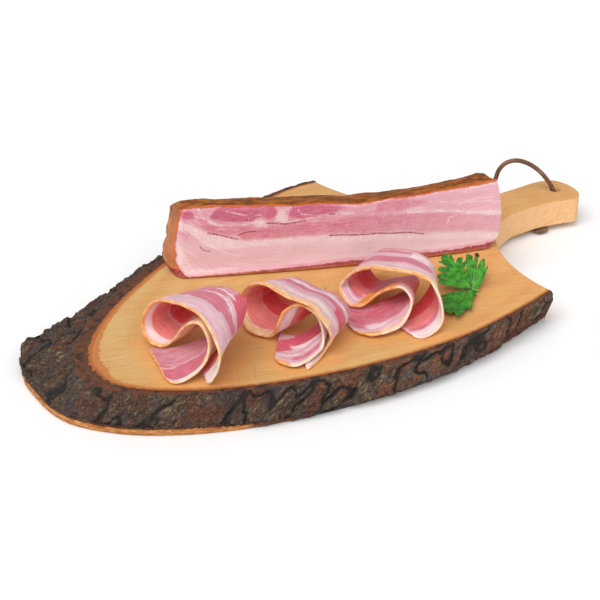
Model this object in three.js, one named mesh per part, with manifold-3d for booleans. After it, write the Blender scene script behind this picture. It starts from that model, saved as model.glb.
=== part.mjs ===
// Bacon served on a live-edge board: a slant-cut slice of a log with its bark left on and a sawn
// handle, a chunk of bacon, three curled rashers, a sprig of parsley and a leather hanging thong.
// Millimetres, +Z up. The board stands on z = 0 with its handle towards +X, and the origin is at the
// middle of the board's outline.

import * as THREE from 'three';
import { mergeVertices } from 'three/addons/utils/BufferGeometryUtils.js';
import Module from 'manifold-3d';

const wasm = await Module();
wasm.setup();

const GAP = 0.3;                        // kept between pieces that touch
const MIDDLE = { x: 52.64, y: 4.61 };   // middle of the outline, measured from the log's tip line

// ---------------------------------------------------------------- board
const BOARD = {
  thick: 20,
  tipX: -116,                           // where the two curved sides meet
  near: { wide: 95.5, at: 69, px: 1.6, py: 0.575, cornerX: 130, cornerY: 91 },
  far: { wide: 103, at: 100, px: 1.3, py: 0.535, cornerX: 124, cornerY: 100 },
  lift: 3.8,                            // the handle's underside is planed up by this
  liftFrom: 150,
  liftTo: 188,
};
const HANDLE = {
  rootX: 186,
  nearY: -12.4,
  farY: 14.5,
  end: [[205, -14.5], [222, -20], [230.5, -23], [237.3, -18.5], [240.8, -8], [238.8, 3.5], [230, 8.8],
    [212, 11.2]],
};
const HOLE = { x: 229.2, y: -6.1, across: 7 };

// How far the bark stands outside the wood, by the way its edge faces, in degrees from +X:
// rim at the top face, bulge and its height, and foot on the underside.
const BARK = [
  { facing: -84, rim: 0.8, bulge: 2, height: 12, foot: -2.4 },
  { facing: -89, rim: 1, bulge: 4, height: 10, foot: -0.8 },
  { facing: -97, rim: 1.2, bulge: 6, height: 8, foot: 1.4 },
  { facing: -105, rim: 1.2, bulge: 8.4, height: 6, foot: 4.8 },
  { facing: -118, rim: 1.5, bulge: 9.6, height: 5.5, foot: 8.8 },
  { facing: -128, rim: 1.8, bulge: 10.2, height: 5.5, foot: 10 },
  { facing: -139, rim: 2.2, bulge: 12, height: 5.5, foot: 11.6 },
  { facing: -156, rim: 3.2, bulge: 14.4, height: 5.5, foot: 13.8 },
  { facing: -172, rim: 4, bulge: 17, height: 5.5, foot: 16.3 },
  { facing: -190, rim: 4, bulge: 20, height: 5.5, foot: 19.4 },
  { facing: -204, rim: 4.5, bulge: 23, height: 5.5, foot: 22.2 },
  { facing: -215, rim: 5, bulge: 28.3, height: 6, foot: 27.6 },
  { facing: -220, rim: 5.5, bulge: 32.2, height: 7, foot: 31 },
  { facing: -224, rim: 6, bulge: 37, height: 8.5, foot: 34 },
  { facing: -228, rim: 6, bulge: 39.4, height: 10, foot: 35.5 },
  { facing: -232, rim: 6, bulge: 38.6, height: 11.5, foot: 33 },
  { facing: -236, rim: 6, bulge: 27, height: 13, foot: 24 },
  { facing: -242, rim: 6, bulge: 18.5, height: 13.5, foot: 16 },
  { facing: -249, rim: 5.5, bulge: 15.5, height: 13.5, foot: 13.5 },
  { facing: -257, rim: 5, bulge: 12, height: 13, foot: 10 },
  { facing: -265, rim: 3.5, bulge: 5.5, height: 12, foot: 3.5 },
];
const FOOT_CHAMFER = 2.2;

// ---------------------------------------------------------------- bacon chunk
const CHUNK = {
  place: [-14.9, 53.6],                 // foot of the cut face at its left end
  heading: -29.2,                       // degrees from +X along the cut face
  length: 183,
  heights: [[0, 42.5], [32, 41], [66, 39], [95, 36], [124, 37], [150, 39.6], [183, 44]],
  bow: 4.2,                             // the cut face bellies out by this at mid length
  deepFoot: 24,
  deepTop: 10,
  endOut: 11,                           // how far the rounded left end stands out at its foot
  endLean: 0.55,                        // part of that lost by the time it reaches the top
  endDeep: 18,                          // where along the depth it stands out most
};

// ---------------------------------------------------------------- rashers
// Each rasher is one long slice on edge. A station is [x, y, z above the board, heading of the
// slice's width in degrees, width, fall of the far edge] along the edge that faces the front.
const SLICE_THICK = 1.6;
const RASHERS = {
  rasher_left: {
    place: [-77, -27],
    stations: [
      [-1, -20, 1.5, 66, 16, 0], [1, -23.5, 9, 58, 20, 2], [0.5, -27.5, 19.5, 44, 29, 4],
      [0.5, -26.5, 26.5, 30, 32, 4.5], [2, -14, 35, 13, 34, 3.5], [3, -4, 36.5, 13, 32, 2],
      [2.5, 6.5, 36, 14, 32, 4], [2, 30, 27.5, 8, 32, 7], [0.5, 38.5, 13.5, 6, 32, 0],
      [-0.5, 36, 6.5, 8, 32, -4], [-1, 27.5, 4.5, 6, 32, -6], [1.5, 22.5, 4, 2, 32, -7],
      [5, 19.5, 7, -2, 32, -6], [3, 3.5, 24.5, 3, 32, -2], [2.5, -9.5, 31, 10, 32, 1.5],
      [3, -15.5, 24.5, 22, 32, 1], [1, -14.5, 12, 38, 32, 0], [-2, -12, 6, 47, 33, 0],
      [-11.5, -8, 1.6, 62, 35, 0], [-14.6, -1.2, 1.4, 68, 34.4, 0],
    ],
  },
  rasher_middle: {
    place: [-22, -46],
    stations: [
      [-8, -21.9, 0.95, 62, 9, 0], [3.4, -18.5, 1.4, 54, 14, 0], [9.8, -16.6, 4.5, 46, 20, 1],
      [9.5, -20, 13, 31, 30, 7], [4.5, -19.5, 24.5, 21, 32, 9], [1, -12, 32, 18, 32, 9.5],
      [-2.5, 0.5, 32.5, 17, 32, 9], [-4, 16.5, 33.5, 14, 32, 9.8], [-4, 25.5, 30.5, 11, 32, 10.2],
      [-3, 34, 24, 8, 32, 7.6], [-3.5, 38, 17, 7, 32, 4], [-5, 37, 10.5, 7, 32, -1],
      [-7, 32, 5.5, 6, 32, -6], [-7.5, 24.5, 2.8, 2, 32, -8], [-3, 14.5, 3, -6, 32, -7],
      [-3, 6.5, 16, -2, 32, -1], [-2, 4.5, 22, 4, 32, 3], [2, -3, 28, 13, 32, 7.5],
      [7, -9.5, 24, 20, 32, 8], [9.5, -11, 19.5, 25, 32, 8], [9, -15, 10.5, 36, 32, 2.5],
      [6, -17, 6.5, 44, 32, 1], [-6.9, -18.1, 2.9, 51, 31, 0], [-12.5, -15.1, 2.1, 48, 30, 0],
      [-15.6, -3.9, 1.4, 43, 29, 0],
    ],
  },
  rasher_right: {
    place: [36, -60],
    stations: [
      [-1, -23.1, 1.2, 88, 22, 0], [8, -25, 1.8, 79, 26, 0], [13.5, -25.2, 5, 66, 30, 0],
      [14, -25.6, 11, 58, 32, 1], [12.5, -24.5, 21.5, 52, 32, 3], [12, -17.5, 29, 44, 32, 6],
      [8, -5, 30.5, 38, 32, 4], [3.5, 8.5, 28.5, 34, 32, 4], [1, 14.5, 28, 31, 32, 4.5],
      [0, 21.5, 25, 26, 32, 3.5], [-2.5, 34.5, 14, 18, 32, 0], [-4.5, 36, 8.5, 17, 32, -1],
      [-8.5, 22.5, 5, 16, 32, -1], [-6, 17.5, 5.5, 16, 32, -2], [-2.5, 15, 8.5, 18, 32, 0.5],
      [0.5, 10.5, 14, 21, 32, 5], [6, 0, 20.5, 28, 32, 9.5], [7.5, -8, 16.5, 38, 32, 8.5],
      [2, -10.5, 7, 52, 32, 2], [-4.5, -11.5, 4.4, 59, 32, 0.5], [-17.5, -7, 2.8, 62, 32, 0.5],
      [-20.7, -0.5, 1.9, 63, 32, 0], [-22, 7, 1.5, 64, 32, 0],
    ],
  },
};

// ---------------------------------------------------------------- parsley
const LEAF_THICK = 0.9;
const SPRIG = { x: 96, y: -64, up: 1.6 };
// heading and climb are degrees, spread is the leaflet's half angle, droop bends its tip down.
const LEAFLETS = [
  { heading: 98, climb: 27, length: 27, spread: 40, lobes: 5, droop: 2.5 },
  { heading: 37, climb: 31, length: 25, spread: 29, lobes: 5, droop: 2.5 },
  { heading: 202, climb: 4, length: 35, spread: 30, lobes: 5, droop: 1.5 },
];

// ---------------------------------------------------------------- thong
const LACE = { across: 2.8 };
const LACE_ROUTE = [
  [212.4, -12.7, 1.9], [216.5, -11.3, 1.9], [220.8, -9.8, 1.9], [224.9, -8.2, 1.9],
  [227.7, -7.2, 2.7], [229.7, -6.5, 4.7], [230.4, -6.1, 8], [230, -6, 13], [229, -5.6, 18],
  [227.2, -4.6, 22.4], [224.8, -3, 26.8], [221.7, -0.9, 31.4], [217.9, 1.7, 35.7],
  [212.6, 5.3, 39.6], [207.2, 9, 41.2], [202.4, 12.4, 39.6], [199.4, 14.5, 35.6],
  [198.1, 15.7, 30], [197.6, 16.6, 23.5], [197.7, 17.2, 17], [198, 17.4, 12],
  [198.4, 17.3, 8], [198.9, 16.5, 4.7], [199.8, 14.5, 2.5], [200.8, 11.6, 1.9],
  [202, 7.6, 1.9], [203.4, 2.4, 1.9], [205, -3.8, 1.9], [206.5, -10.2, 1.9],
];
const KNOT = { x: 208.4, y: -15.2, z: 2.05, long: 10, wide: 5.8, high: 3.2, heading: -14 };

// ---------------------------------------------------------------- helpers
const radians = THREE.MathUtils.degToRad;
const { clamp, lerp, smoothstep } = THREE.MathUtils;

// Value read from a table of [place, value] rows, straight or eased between them.
function fromTable(rows, at, eased = false) {
  let k = 0;
  while (k < rows.length - 2 && at > rows[k + 1][0]) k += 1;
  const [from, to] = [rows[k][0], rows[k + 1][0]];
  const t = eased ? smoothstep(at, from, to) : clamp((at - from) / (to - from), 0, 1);
  return lerp(rows[k][1], rows[k + 1][1], t);
}

// Closed solid from equal rings of [x, y, z] points, with its first and last rings filled in flat.
function loftSolid(rings) {
  const n = rings[0].length;
  const points = rings.flat();
  const index = [];
  for (let r = 0; r + 1 < rings.length; r += 1) {
    for (let i = 0; i < n; i += 1) {
      const a = r * n + i;
      const b = r * n + ((i + 1) % n);
      index.push(a, b, b + n, a, b + n, a + n);
    }
  }
  const outline = rings[0].map(([x, y]) => new THREE.Vector2(x, y));
  const last = (rings.length - 1) * n;
  for (const [a, b, c] of THREE.ShapeUtils.triangulateShape(outline, [])) {
    index.push(a, c, b);
  }
  const top = rings.at(-1).map(([x, y]) => new THREE.Vector2(x, y));
  for (const [a, b, c] of THREE.ShapeUtils.triangulateShape(top, [])) {
    index.push(last + a, last + b, last + c);
  }
  return closedGeometry(points, index);
}

// Geometry from points and triangles, turned right side out.
function closedGeometry(points, index) {
  let volume = 0;
  for (let i = 0; i < index.length; i += 3) {
    const [a, b, c] = [points[index[i]], points[index[i + 1]], points[index[i + 2]]];
    volume += a[0] * (b[1] * c[2] - b[2] * c[1]) + a[1] * (b[2] * c[0] - b[0] * c[2])
      + a[2] * (b[0] * c[1] - b[1] * c[0]);
  }
  const faces = volume > 0 ? index : index.map((_, i) => index[3 * Math.floor(i / 3) + [0, 2, 1][i % 3]]);
  const geometry = new THREE.BufferGeometry();
  geometry.setAttribute('position', new THREE.Float32BufferAttribute(points.flat(), 3));
  geometry.setIndex(faces);
  geometry.computeVertexNormals();
  return geometry;
}

// A sheet of rows of points, given a thickness along its own normals and closed round its edges.
function thickSheet(rows, thick) {
  const m = rows.length;
  const n = rows[0].length;
  const normals = rows.map((row, i) => row.map((_, j) => {
    const along = rows[Math.min(i + 1, m - 1)][j].clone().sub(rows[Math.max(i - 1, 0)][j]);
    const across = row[Math.min(j + 1, n - 1)].clone().sub(row[Math.max(j - 1, 0)]);
    return along.cross(across).normalize();
  }));
  const side = (sign) => rows.flatMap((row, i) => row.map((p, j) => (
    p.clone().addScaledVector(normals[i][j], (sign * thick) / 2).toArray())));
  const points = [...side(1), ...side(-1)];
  const back = m * n;
  const index = [];
  for (let i = 0; i + 1 < m; i += 1) {
    for (let j = 0; j + 1 < n; j += 1) {
      const a = i * n + j;
      index.push(a, a + n, a + n + 1, a, a + n + 1, a + 1);
      index.push(back + a, back + a + n + 1, back + a + n, back + a, back + a + 1, back + a + n + 1);
    }
  }
  const rim = [];
  for (let j = 0; j < n - 1; j += 1) rim.push(j);
  for (let i = 0; i < m - 1; i += 1) rim.push(i * n + n - 1);
  for (let j = n - 1; j > 0; j -= 1) rim.push((m - 1) * n + j);
  for (let i = m - 1; i > 0; i -= 1) rim.push(i * n);
  rim.forEach((a, k) => {
    const b = rim[(k + 1) % rim.length];
    index.push(a, b, back + b, a, back + b, back + a);
  });
  return closedGeometry(points, index);
}

function toManifold(geometry) {
  const bare = geometry.clone();
  bare.deleteAttribute('normal');
  bare.deleteAttribute('uv');
  const merged = mergeVertices(bare, 1e-4);
  return new wasm.Manifold(new wasm.Mesh({
    numProp: 3,
    vertProperties: new Float32Array(merged.attributes.position.array),
    triVerts: new Uint32Array(merged.index.array),
  }));
}

function fromManifold(solid) {
  const mesh = solid.getMesh();
  const geometry = new THREE.BufferGeometry();
  geometry.setAttribute('position', new THREE.Float32BufferAttribute(mesh.vertProperties, 3));
  geometry.setIndex(new THREE.BufferAttribute(mesh.triVerts, 1));
  geometry.computeVertexNormals();
  return geometry;
}

// ---------------------------------------------------------------- board
// One curved side of the log's outline, from its widest place round to the tip.
function curvedSide({ wide, at, px, py }, sign, steps) {
  const points = [];
  for (let i = 0; i <= steps; i += 1) {
    const angle = (i / steps) * (Math.PI / 2);
    const x = at - (at - BOARD.tipX) * Math.sin(angle) ** (2 / px);
    points.push([x, sign * wide * Math.cos(angle) ** (2 * py)]);
  }
  return points;
}

// From the corner that the saw left back to the widest place.
function nearlyStraight({ wide, at, cornerX, cornerY }, sign, steps) {
  const points = [];
  for (let i = 0; i < steps; i += 1) {
    const t = 1 - i / steps;
    points.push([lerp(at, cornerX, t), sign * (wide - (wide - cornerY) * t * t)]);
  }
  return points;
}

// A quarter of an ellipse, sawn from the corner into the side of the handle.
function shoulder({ cornerX, cornerY }, sign, steps) {
  const rootY = sign < 0 ? HANDLE.nearY : HANDLE.farY;
  const points = [];
  for (let i = 0; i <= steps; i += 1) {
    const angle = (i / steps) * (Math.PI / 2);
    const x = HANDLE.rootX - (HANDLE.rootX - cornerX) * Math.cos(angle);
    points.push([x, lerp(sign * cornerY, rootY, Math.sin(angle))]);
  }
  return points;
}

function handleEnd(steps) {
  const knots = [[HANDLE.rootX, HANDLE.nearY], ...HANDLE.end, [HANDLE.rootX, HANDLE.farY]];
  const curve = new THREE.CatmullRomCurve3(knots.map(([x, y]) => new THREE.Vector3(x, y, 0)), false);
  return curve.getSpacedPoints(steps).map((p) => [p.x, p.y]).slice(1, -1);
}

function barkAt(facing) {
  const angle = facing > -60 ? facing - 360 : facing;
  const read = (key) => fromTable(BARK.map((row) => [-row.facing, row[key]]), -angle);
  return { rim: read('rim'), bulge: read('bulge'), height: read('height'), foot: read('foot') };
}

function boardGeometry() {
  const natural = [
    ...nearlyStraight(BOARD.near, -1, 6),
    ...curvedSide(BOARD.near, -1, 26),
    ...curvedSide(BOARD.far, 1, 26).reverse().slice(1),
    ...nearlyStraight(BOARD.far, 1, 4).reverse(),
  ].reverse();
  const sawn = [
    ...shoulder(BOARD.near, -1, 12),
    ...handleEnd(22),
    ...shoulder(BOARD.far, 1, 12).reverse(),
  ];
  const outline = [...sawn, ...natural];
  const isBark = outline.map((_, i) => i >= sawn.length);
  const facing = outline.map((_, i) => {
    const step = isBark[i] ? 1 : 0;
    const before = outline[i - (isBark[i - 1] ? step : 0)];
    const after = outline[i + (i + 1 < outline.length ? step : 0)];
    return THREE.MathUtils.radToDeg(Math.atan2(before[0] - after[0], after[1] - before[1]));
  });
  const ring = (heightOf, outBy) => outline.map(([x, y], i) => {
    const bark = barkAt(facing[i]);
    const out = isBark[i] ? outBy(bark) : 0;
    const angle = radians(facing[i]);
    return [x + out * Math.cos(angle), y + out * Math.sin(angle), heightOf(bark, isBark[i])];
  });
  const log = loftSolid([
    ring(() => 0, (bark) => bark.foot - FOOT_CHAMFER),
    ring(() => FOOT_CHAMFER, (bark) => bark.foot),
    ring((bark, natural) => (natural ? bark.height : BOARD.thick / 2), (bark) => bark.bulge),
    ring(() => BOARD.thick - 1.2, (bark) => bark.rim + 1.2),
    ring(() => BOARD.thick, (bark) => bark.rim),
  ]);
  const drill = new THREE.CylinderGeometry(HOLE.across / 2, HOLE.across / 2, 3 * BOARD.thick, 20);
  drill.rotateX(Math.PI / 2);
  drill.translate(HOLE.x, HOLE.y, BOARD.thick / 2);
  return fromManifold(toManifold(log).subtract(toManifold(planedAway())).subtract(toManifold(drill)));
}

// What is planed off under the handle, eased in from the log's foot.
function planedAway() {
  const shape = new THREE.Shape();
  const deep = 2 * BOARD.lift;
  shape.moveTo(BOARD.liftFrom, -deep);
  shape.lineTo(2 * BOARD.liftTo, -deep);
  shape.lineTo(2 * BOARD.liftTo, BOARD.lift);
  for (let i = 6; i >= 0; i -= 1) {
    const x = lerp(BOARD.liftFrom, BOARD.liftTo, i / 6);
    shape.lineTo(x, BOARD.lift * smoothstep(x, BOARD.liftFrom, BOARD.liftTo));
  }
  shape.closePath();
  const wide = 4 * HANDLE.rootX;
  const geometry = new THREE.ExtrudeGeometry(shape, { depth: wide, bevelEnabled: false });
  geometry.rotateX(Math.PI / 2);
  geometry.translate(0, wide / 2, 0);
  return geometry;
}

// ---------------------------------------------------------------- bacon chunk
// Section of the chunk at a place along its length: [depth, height] points, front foot first.
function chunkSection(along) {
  const { length, endOut, endDeep, deepFoot, deepTop, bow } = CHUNK;
  const high = fromTable(CHUNK.heights, Math.max(along, 0), true);
  const left = along < 0 ? Math.sqrt(Math.max(1 - (along / endOut) ** 2, 0)) : 1;
  const front = endDeep * (1 - left) - bow * Math.sin((Math.PI * Math.max(along, 0)) / length);
  const shrink = (deep) => lerp(endDeep, deep, left);
  const top = high - 5 * (1 - left);
  return [
    [front + 1.2, 0],
    [front, 1.2],
    [front - 0.3, top * 0.35],
    [front, top * 0.7],
    [front, top - 0.8],
    [front + 0.8, top],
    [lerp(front, shrink(deepTop), 0.5), top + 1.8 * left],
    [shrink(deepTop - 1), top + 1.2 * left],
    [shrink(deepTop + 3), top - 2.5],
    [shrink(deepTop + 7), top - 10],
    [shrink(deepFoot - 2.5), top * 0.52],
    [shrink(deepFoot), top * 0.28],
    [shrink(deepFoot - 0.5), 2.2],
    [shrink(deepFoot - 2.5), 0],
  ];
}

function chunkGeometry() {
  const stops = [];
  for (let i = 0; i < 6; i += 1) {
    stops.push(-CHUNK.endOut * Math.cos((i / 6) * (Math.PI / 2)) * 0.985);
  }
  for (let i = 0; i <= 22; i += 1) {
    stops.push((CHUNK.length * i) / 22);
  }
  const heading = radians(CHUNK.heading);
  const rings = stops.map((stop) => chunkSection(stop).map(([deep, high]) => {
    const lean = CHUNK.endLean * (high / CHUNK.heights[0][1]) ** 2;
    const along = stop < 0 ? stop * (1 - lean) : stop;
    return [
      CHUNK.place[0] + along * Math.cos(heading) - deep * Math.sin(heading),
      CHUNK.place[1] + along * Math.sin(heading) + deep * Math.cos(heading),
      BOARD.thick + GAP + high,
    ];
  }));
  const n = rings[0].length;
  const points = rings.flat();
  const index = [];
  for (let r = 0; r + 1 < rings.length; r += 1) {
    for (let i = 0; i < n; i += 1) {
      const a = r * n + i;
      const b = r * n + ((i + 1) % n);
      index.push(a, b, b + n, a, b + n, a + n);
    }
  }
  for (const end of [0, rings.length - 1]) {
    const middle = new THREE.Vector3();
    rings[end].forEach((p) => middle.add(new THREE.Vector3(...p).divideScalar(n)));
    const centre = points.push(middle.toArray()) - 1;
    for (let i = 0; i < n; i += 1) {
      const [a, b] = [end * n + i, end * n + ((i + 1) % n)];
      index.push(...(end ? [centre, a, b] : [centre, b, a]));
    }
  }
  return closedGeometry(points, index);
}

// ---------------------------------------------------------------- rashers
const SLICE_STEPS = 64;
const SLICE_STRIPS = 3;

function rasherGeometry({ place, stations }) {
  const front = [];
  const behind = [];
  for (const [x, y, up, heading, width, fall] of stations) {
    const reach = Math.sqrt(width ** 2 - fall ** 2);
    const near = new THREE.Vector3(place[0] + x, place[1] + y, BOARD.thick + up);
    const way = new THREE.Vector3(Math.cos(radians(heading)) * reach, Math.sin(radians(heading)) * reach, -fall);
    front.push(near);
    behind.push(near.clone().add(way));
  }
  const frontEdge = new THREE.CatmullRomCurve3(front);
  const farEdge = new THREE.CatmullRomCurve3(behind);
  const rows = [];
  for (let i = 0; i <= SLICE_STEPS; i += 1) {
    const t = i / SLICE_STEPS;
    const [near, far] = [frontEdge.getPoint(t), farEdge.getPoint(t)];
    rows.push(Array.from({ length: SLICE_STRIPS + 1 }, (_, j) => near.clone().lerp(far, j / SLICE_STRIPS)));
  }
  return thickSheet(rows, SLICE_THICK);
}

// ---------------------------------------------------------------- parsley
// A leaflet is a fan that widens from its base, notched into rounded lobes.
function leafletGeometry({ heading, climb, length, spread, lobes, droop }) {
  const rays = 4 * lobes;
  const bands = 3;
  const turn = new THREE.Matrix4().makeRotationZ(radians(heading));
  turn.multiply(new THREE.Matrix4().makeRotationY(-radians(climb)));
  const rows = [];
  for (let i = 0; i <= rays; i += 1) {
    const across = (2 * i) / rays - 1;
    const lobe = Math.abs(Math.cos((i / rays) * lobes * Math.PI - Math.PI / 2));
    const reach = length * (1 - 0.32 * across ** 2) * (0.74 + 0.26 * lobe);
    const angle = radians(spread * across);
    const row = [];
    for (let j = 0; j <= bands; j += 1) {
      const r = lerp(0.07, 1, j / bands) * reach;
      const bend = -droop * (r / length) ** 2;
      row.push(new THREE.Vector3(r * Math.cos(angle), r * Math.sin(angle), bend).applyMatrix4(turn));
    }
    rows.push(row);
  }
  return thickSheet(rows, LEAF_THICK);
}

function parsleyGeometry() {
  const node = new THREE.SphereGeometry(2.1, 10, 6);
  node.scale(1, 1, 0.5);
  let sprig = toManifold(node);
  for (const leaflet of LEAFLETS) {
    sprig = sprig.add(toManifold(leafletGeometry(leaflet)));
  }
  const geometry = fromManifold(sprig);
  geometry.translate(SPRIG.x, SPRIG.y, BOARD.thick + SPRIG.up);
  return geometry;
}

// ---------------------------------------------------------------- thong
function laceGeometry() {
  const section = new THREE.Shape();
  for (let i = 0; i < 8; i += 1) {
    const angle = ((i + 0.5) / 8) * 2 * Math.PI;
    const at = [(LACE.across / 2) * Math.cos(angle), (LACE.across / 2) * Math.sin(angle)];
    if (i) section.lineTo(...at);
    else section.moveTo(...at);
  }
  section.closePath();
  const route = new THREE.CatmullRomCurve3(LACE_ROUTE.map((p) => new THREE.Vector3(...p)));
  return new THREE.ExtrudeGeometry(section, { steps: 44, extrudePath: route });
}

function knotGeometry() {
  const geometry = new THREE.SphereGeometry(0.5, 16, 10);
  geometry.scale(KNOT.long, KNOT.wide, KNOT.high);
  geometry.rotateZ(radians(KNOT.heading));
  geometry.translate(KNOT.x, KNOT.y, KNOT.z);
  return geometry;
}

// ---------------------------------------------------------------- scene graph
function finish(color, roughness) {
  return new THREE.MeshStandardMaterial({ color, roughness, metalness: 0 });
}

const WOOD = finish(0xd9a768, 0.55);
const BACON = finish(0xd98a92, 0.45);
const GREEN = finish(0x3f8f2c, 0.5);
const LEATHER = finish(0x7a4a30, 0.6);

const serving = new THREE.Group();
serving.position.set(-MIDDLE.x, -MIDDLE.y, 0);

function addPiece(name, geometry, material) {
  const mesh = new THREE.Mesh(geometry, material);
  mesh.name = name;
  serving.add(mesh);
}

addPiece('board', boardGeometry(), WOOD);
addPiece('bacon_chunk', chunkGeometry(), BACON);
for (const [name, rasher] of Object.entries(RASHERS)) {
  addPiece(name, rasherGeometry(rasher), BACON);
}
addPiece('parsley', parsleyGeometry(), GREEN);
addPiece('thong', laceGeometry(), LEATHER);
addPiece('thong_knot', knotGeometry(), LEATHER);

const model = new THREE.Group();
model.add(serving);

export default model;
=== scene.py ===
"""Bacon on a live-edge board, dressed for the camera: sawn wood and furrowed bark, a chunk of smoked
bacon, three curled rashers, a sprig of parsley, a peppercorn, crumbs of rind, and a leather thong with
its knot.

Sizes are in millimetres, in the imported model's own frame, until a mesh is written in metres."""

import math

import bmesh
import bpy
import numpy as np
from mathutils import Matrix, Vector, noise


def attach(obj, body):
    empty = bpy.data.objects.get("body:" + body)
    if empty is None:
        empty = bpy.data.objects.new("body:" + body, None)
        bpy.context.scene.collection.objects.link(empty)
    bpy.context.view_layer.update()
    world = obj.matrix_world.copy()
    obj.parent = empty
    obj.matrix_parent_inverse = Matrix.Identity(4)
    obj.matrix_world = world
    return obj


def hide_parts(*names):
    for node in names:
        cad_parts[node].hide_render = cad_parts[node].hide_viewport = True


MM = 0.001
# The bark's swirls are drawn from this seed, so that every run makes the same board.
noise.seed_set(7)
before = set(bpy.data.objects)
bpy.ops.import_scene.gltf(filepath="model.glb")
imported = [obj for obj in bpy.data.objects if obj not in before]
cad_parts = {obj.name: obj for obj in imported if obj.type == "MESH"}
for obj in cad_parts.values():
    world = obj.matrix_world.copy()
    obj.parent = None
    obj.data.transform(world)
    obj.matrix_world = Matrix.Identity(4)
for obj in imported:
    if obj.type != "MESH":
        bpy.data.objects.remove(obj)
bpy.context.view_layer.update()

# The log's outline is drawn round its own tip line; the model's origin is the middle of the outline.
MIDDLE = (52.64, 4.61)


def placed(x, y, *up):
    """A point of the log's outline in the model's frame."""
    return (x - MIDDLE[0], y - MIDDLE[1], *up)


# ---------------- camera
CAMERA = {"azimuth": -40.93, "elevation": 29.32, "distance": 992.68, "lens": 103.37}
CAMERA_LOOKS_AT = (-12.54, 14.0, 0.0)


def seen_from(azimuth, elevation):
    """The way from the board to something that stands at these angles, in degrees."""
    turn, rise = math.radians(azimuth), math.radians(elevation)
    return Vector((math.sin(turn) * math.cos(rise), -math.cos(turn) * math.cos(rise), math.sin(rise)))


def make_camera():
    back = seen_from(CAMERA["azimuth"], CAMERA["elevation"])
    data = bpy.data.cameras.new("camera")
    data.lens = CAMERA["lens"]
    data.sensor_width = 36.0
    camera = bpy.data.objects.new("camera", data)
    camera.location = (Vector(CAMERA_LOOKS_AT) + CAMERA["distance"] * back) * MM
    camera.rotation_mode = "QUATERNION"
    camera.rotation_quaternion = (-back).to_track_quat("-Z", "Y")
    bpy.context.collection.objects.link(camera)
    bpy.context.scene.camera = camera


# ---------------- shading
def shade(red, green, blue):
    """A colour in 0-255 steps, as the linear colour that a socket takes."""
    steps = [c / 255 for c in (red, green, blue)]
    return (*[c / 12.92 if c <= 0.04045 else ((c + 0.055) / 1.055) ** 2.4 for c in steps], 1.0)


class Number:
    """A socket in a finish's node tree, so that shading is written as plain arithmetic."""

    def __init__(self, finish, socket):
        self.finish = finish
        self.socket = socket

    def __add__(self, other):
        return self.finish.math("ADD", self, other)

    def __radd__(self, other):
        return self.finish.math("ADD", other, self)

    def __sub__(self, other):
        return self.finish.math("SUBTRACT", self, other)

    def __rsub__(self, other):
        return self.finish.math("SUBTRACT", other, self)

    def __mul__(self, other):
        return self.finish.math("MULTIPLY", self, other)

    def __rmul__(self, other):
        return self.finish.math("MULTIPLY", other, self)


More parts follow.
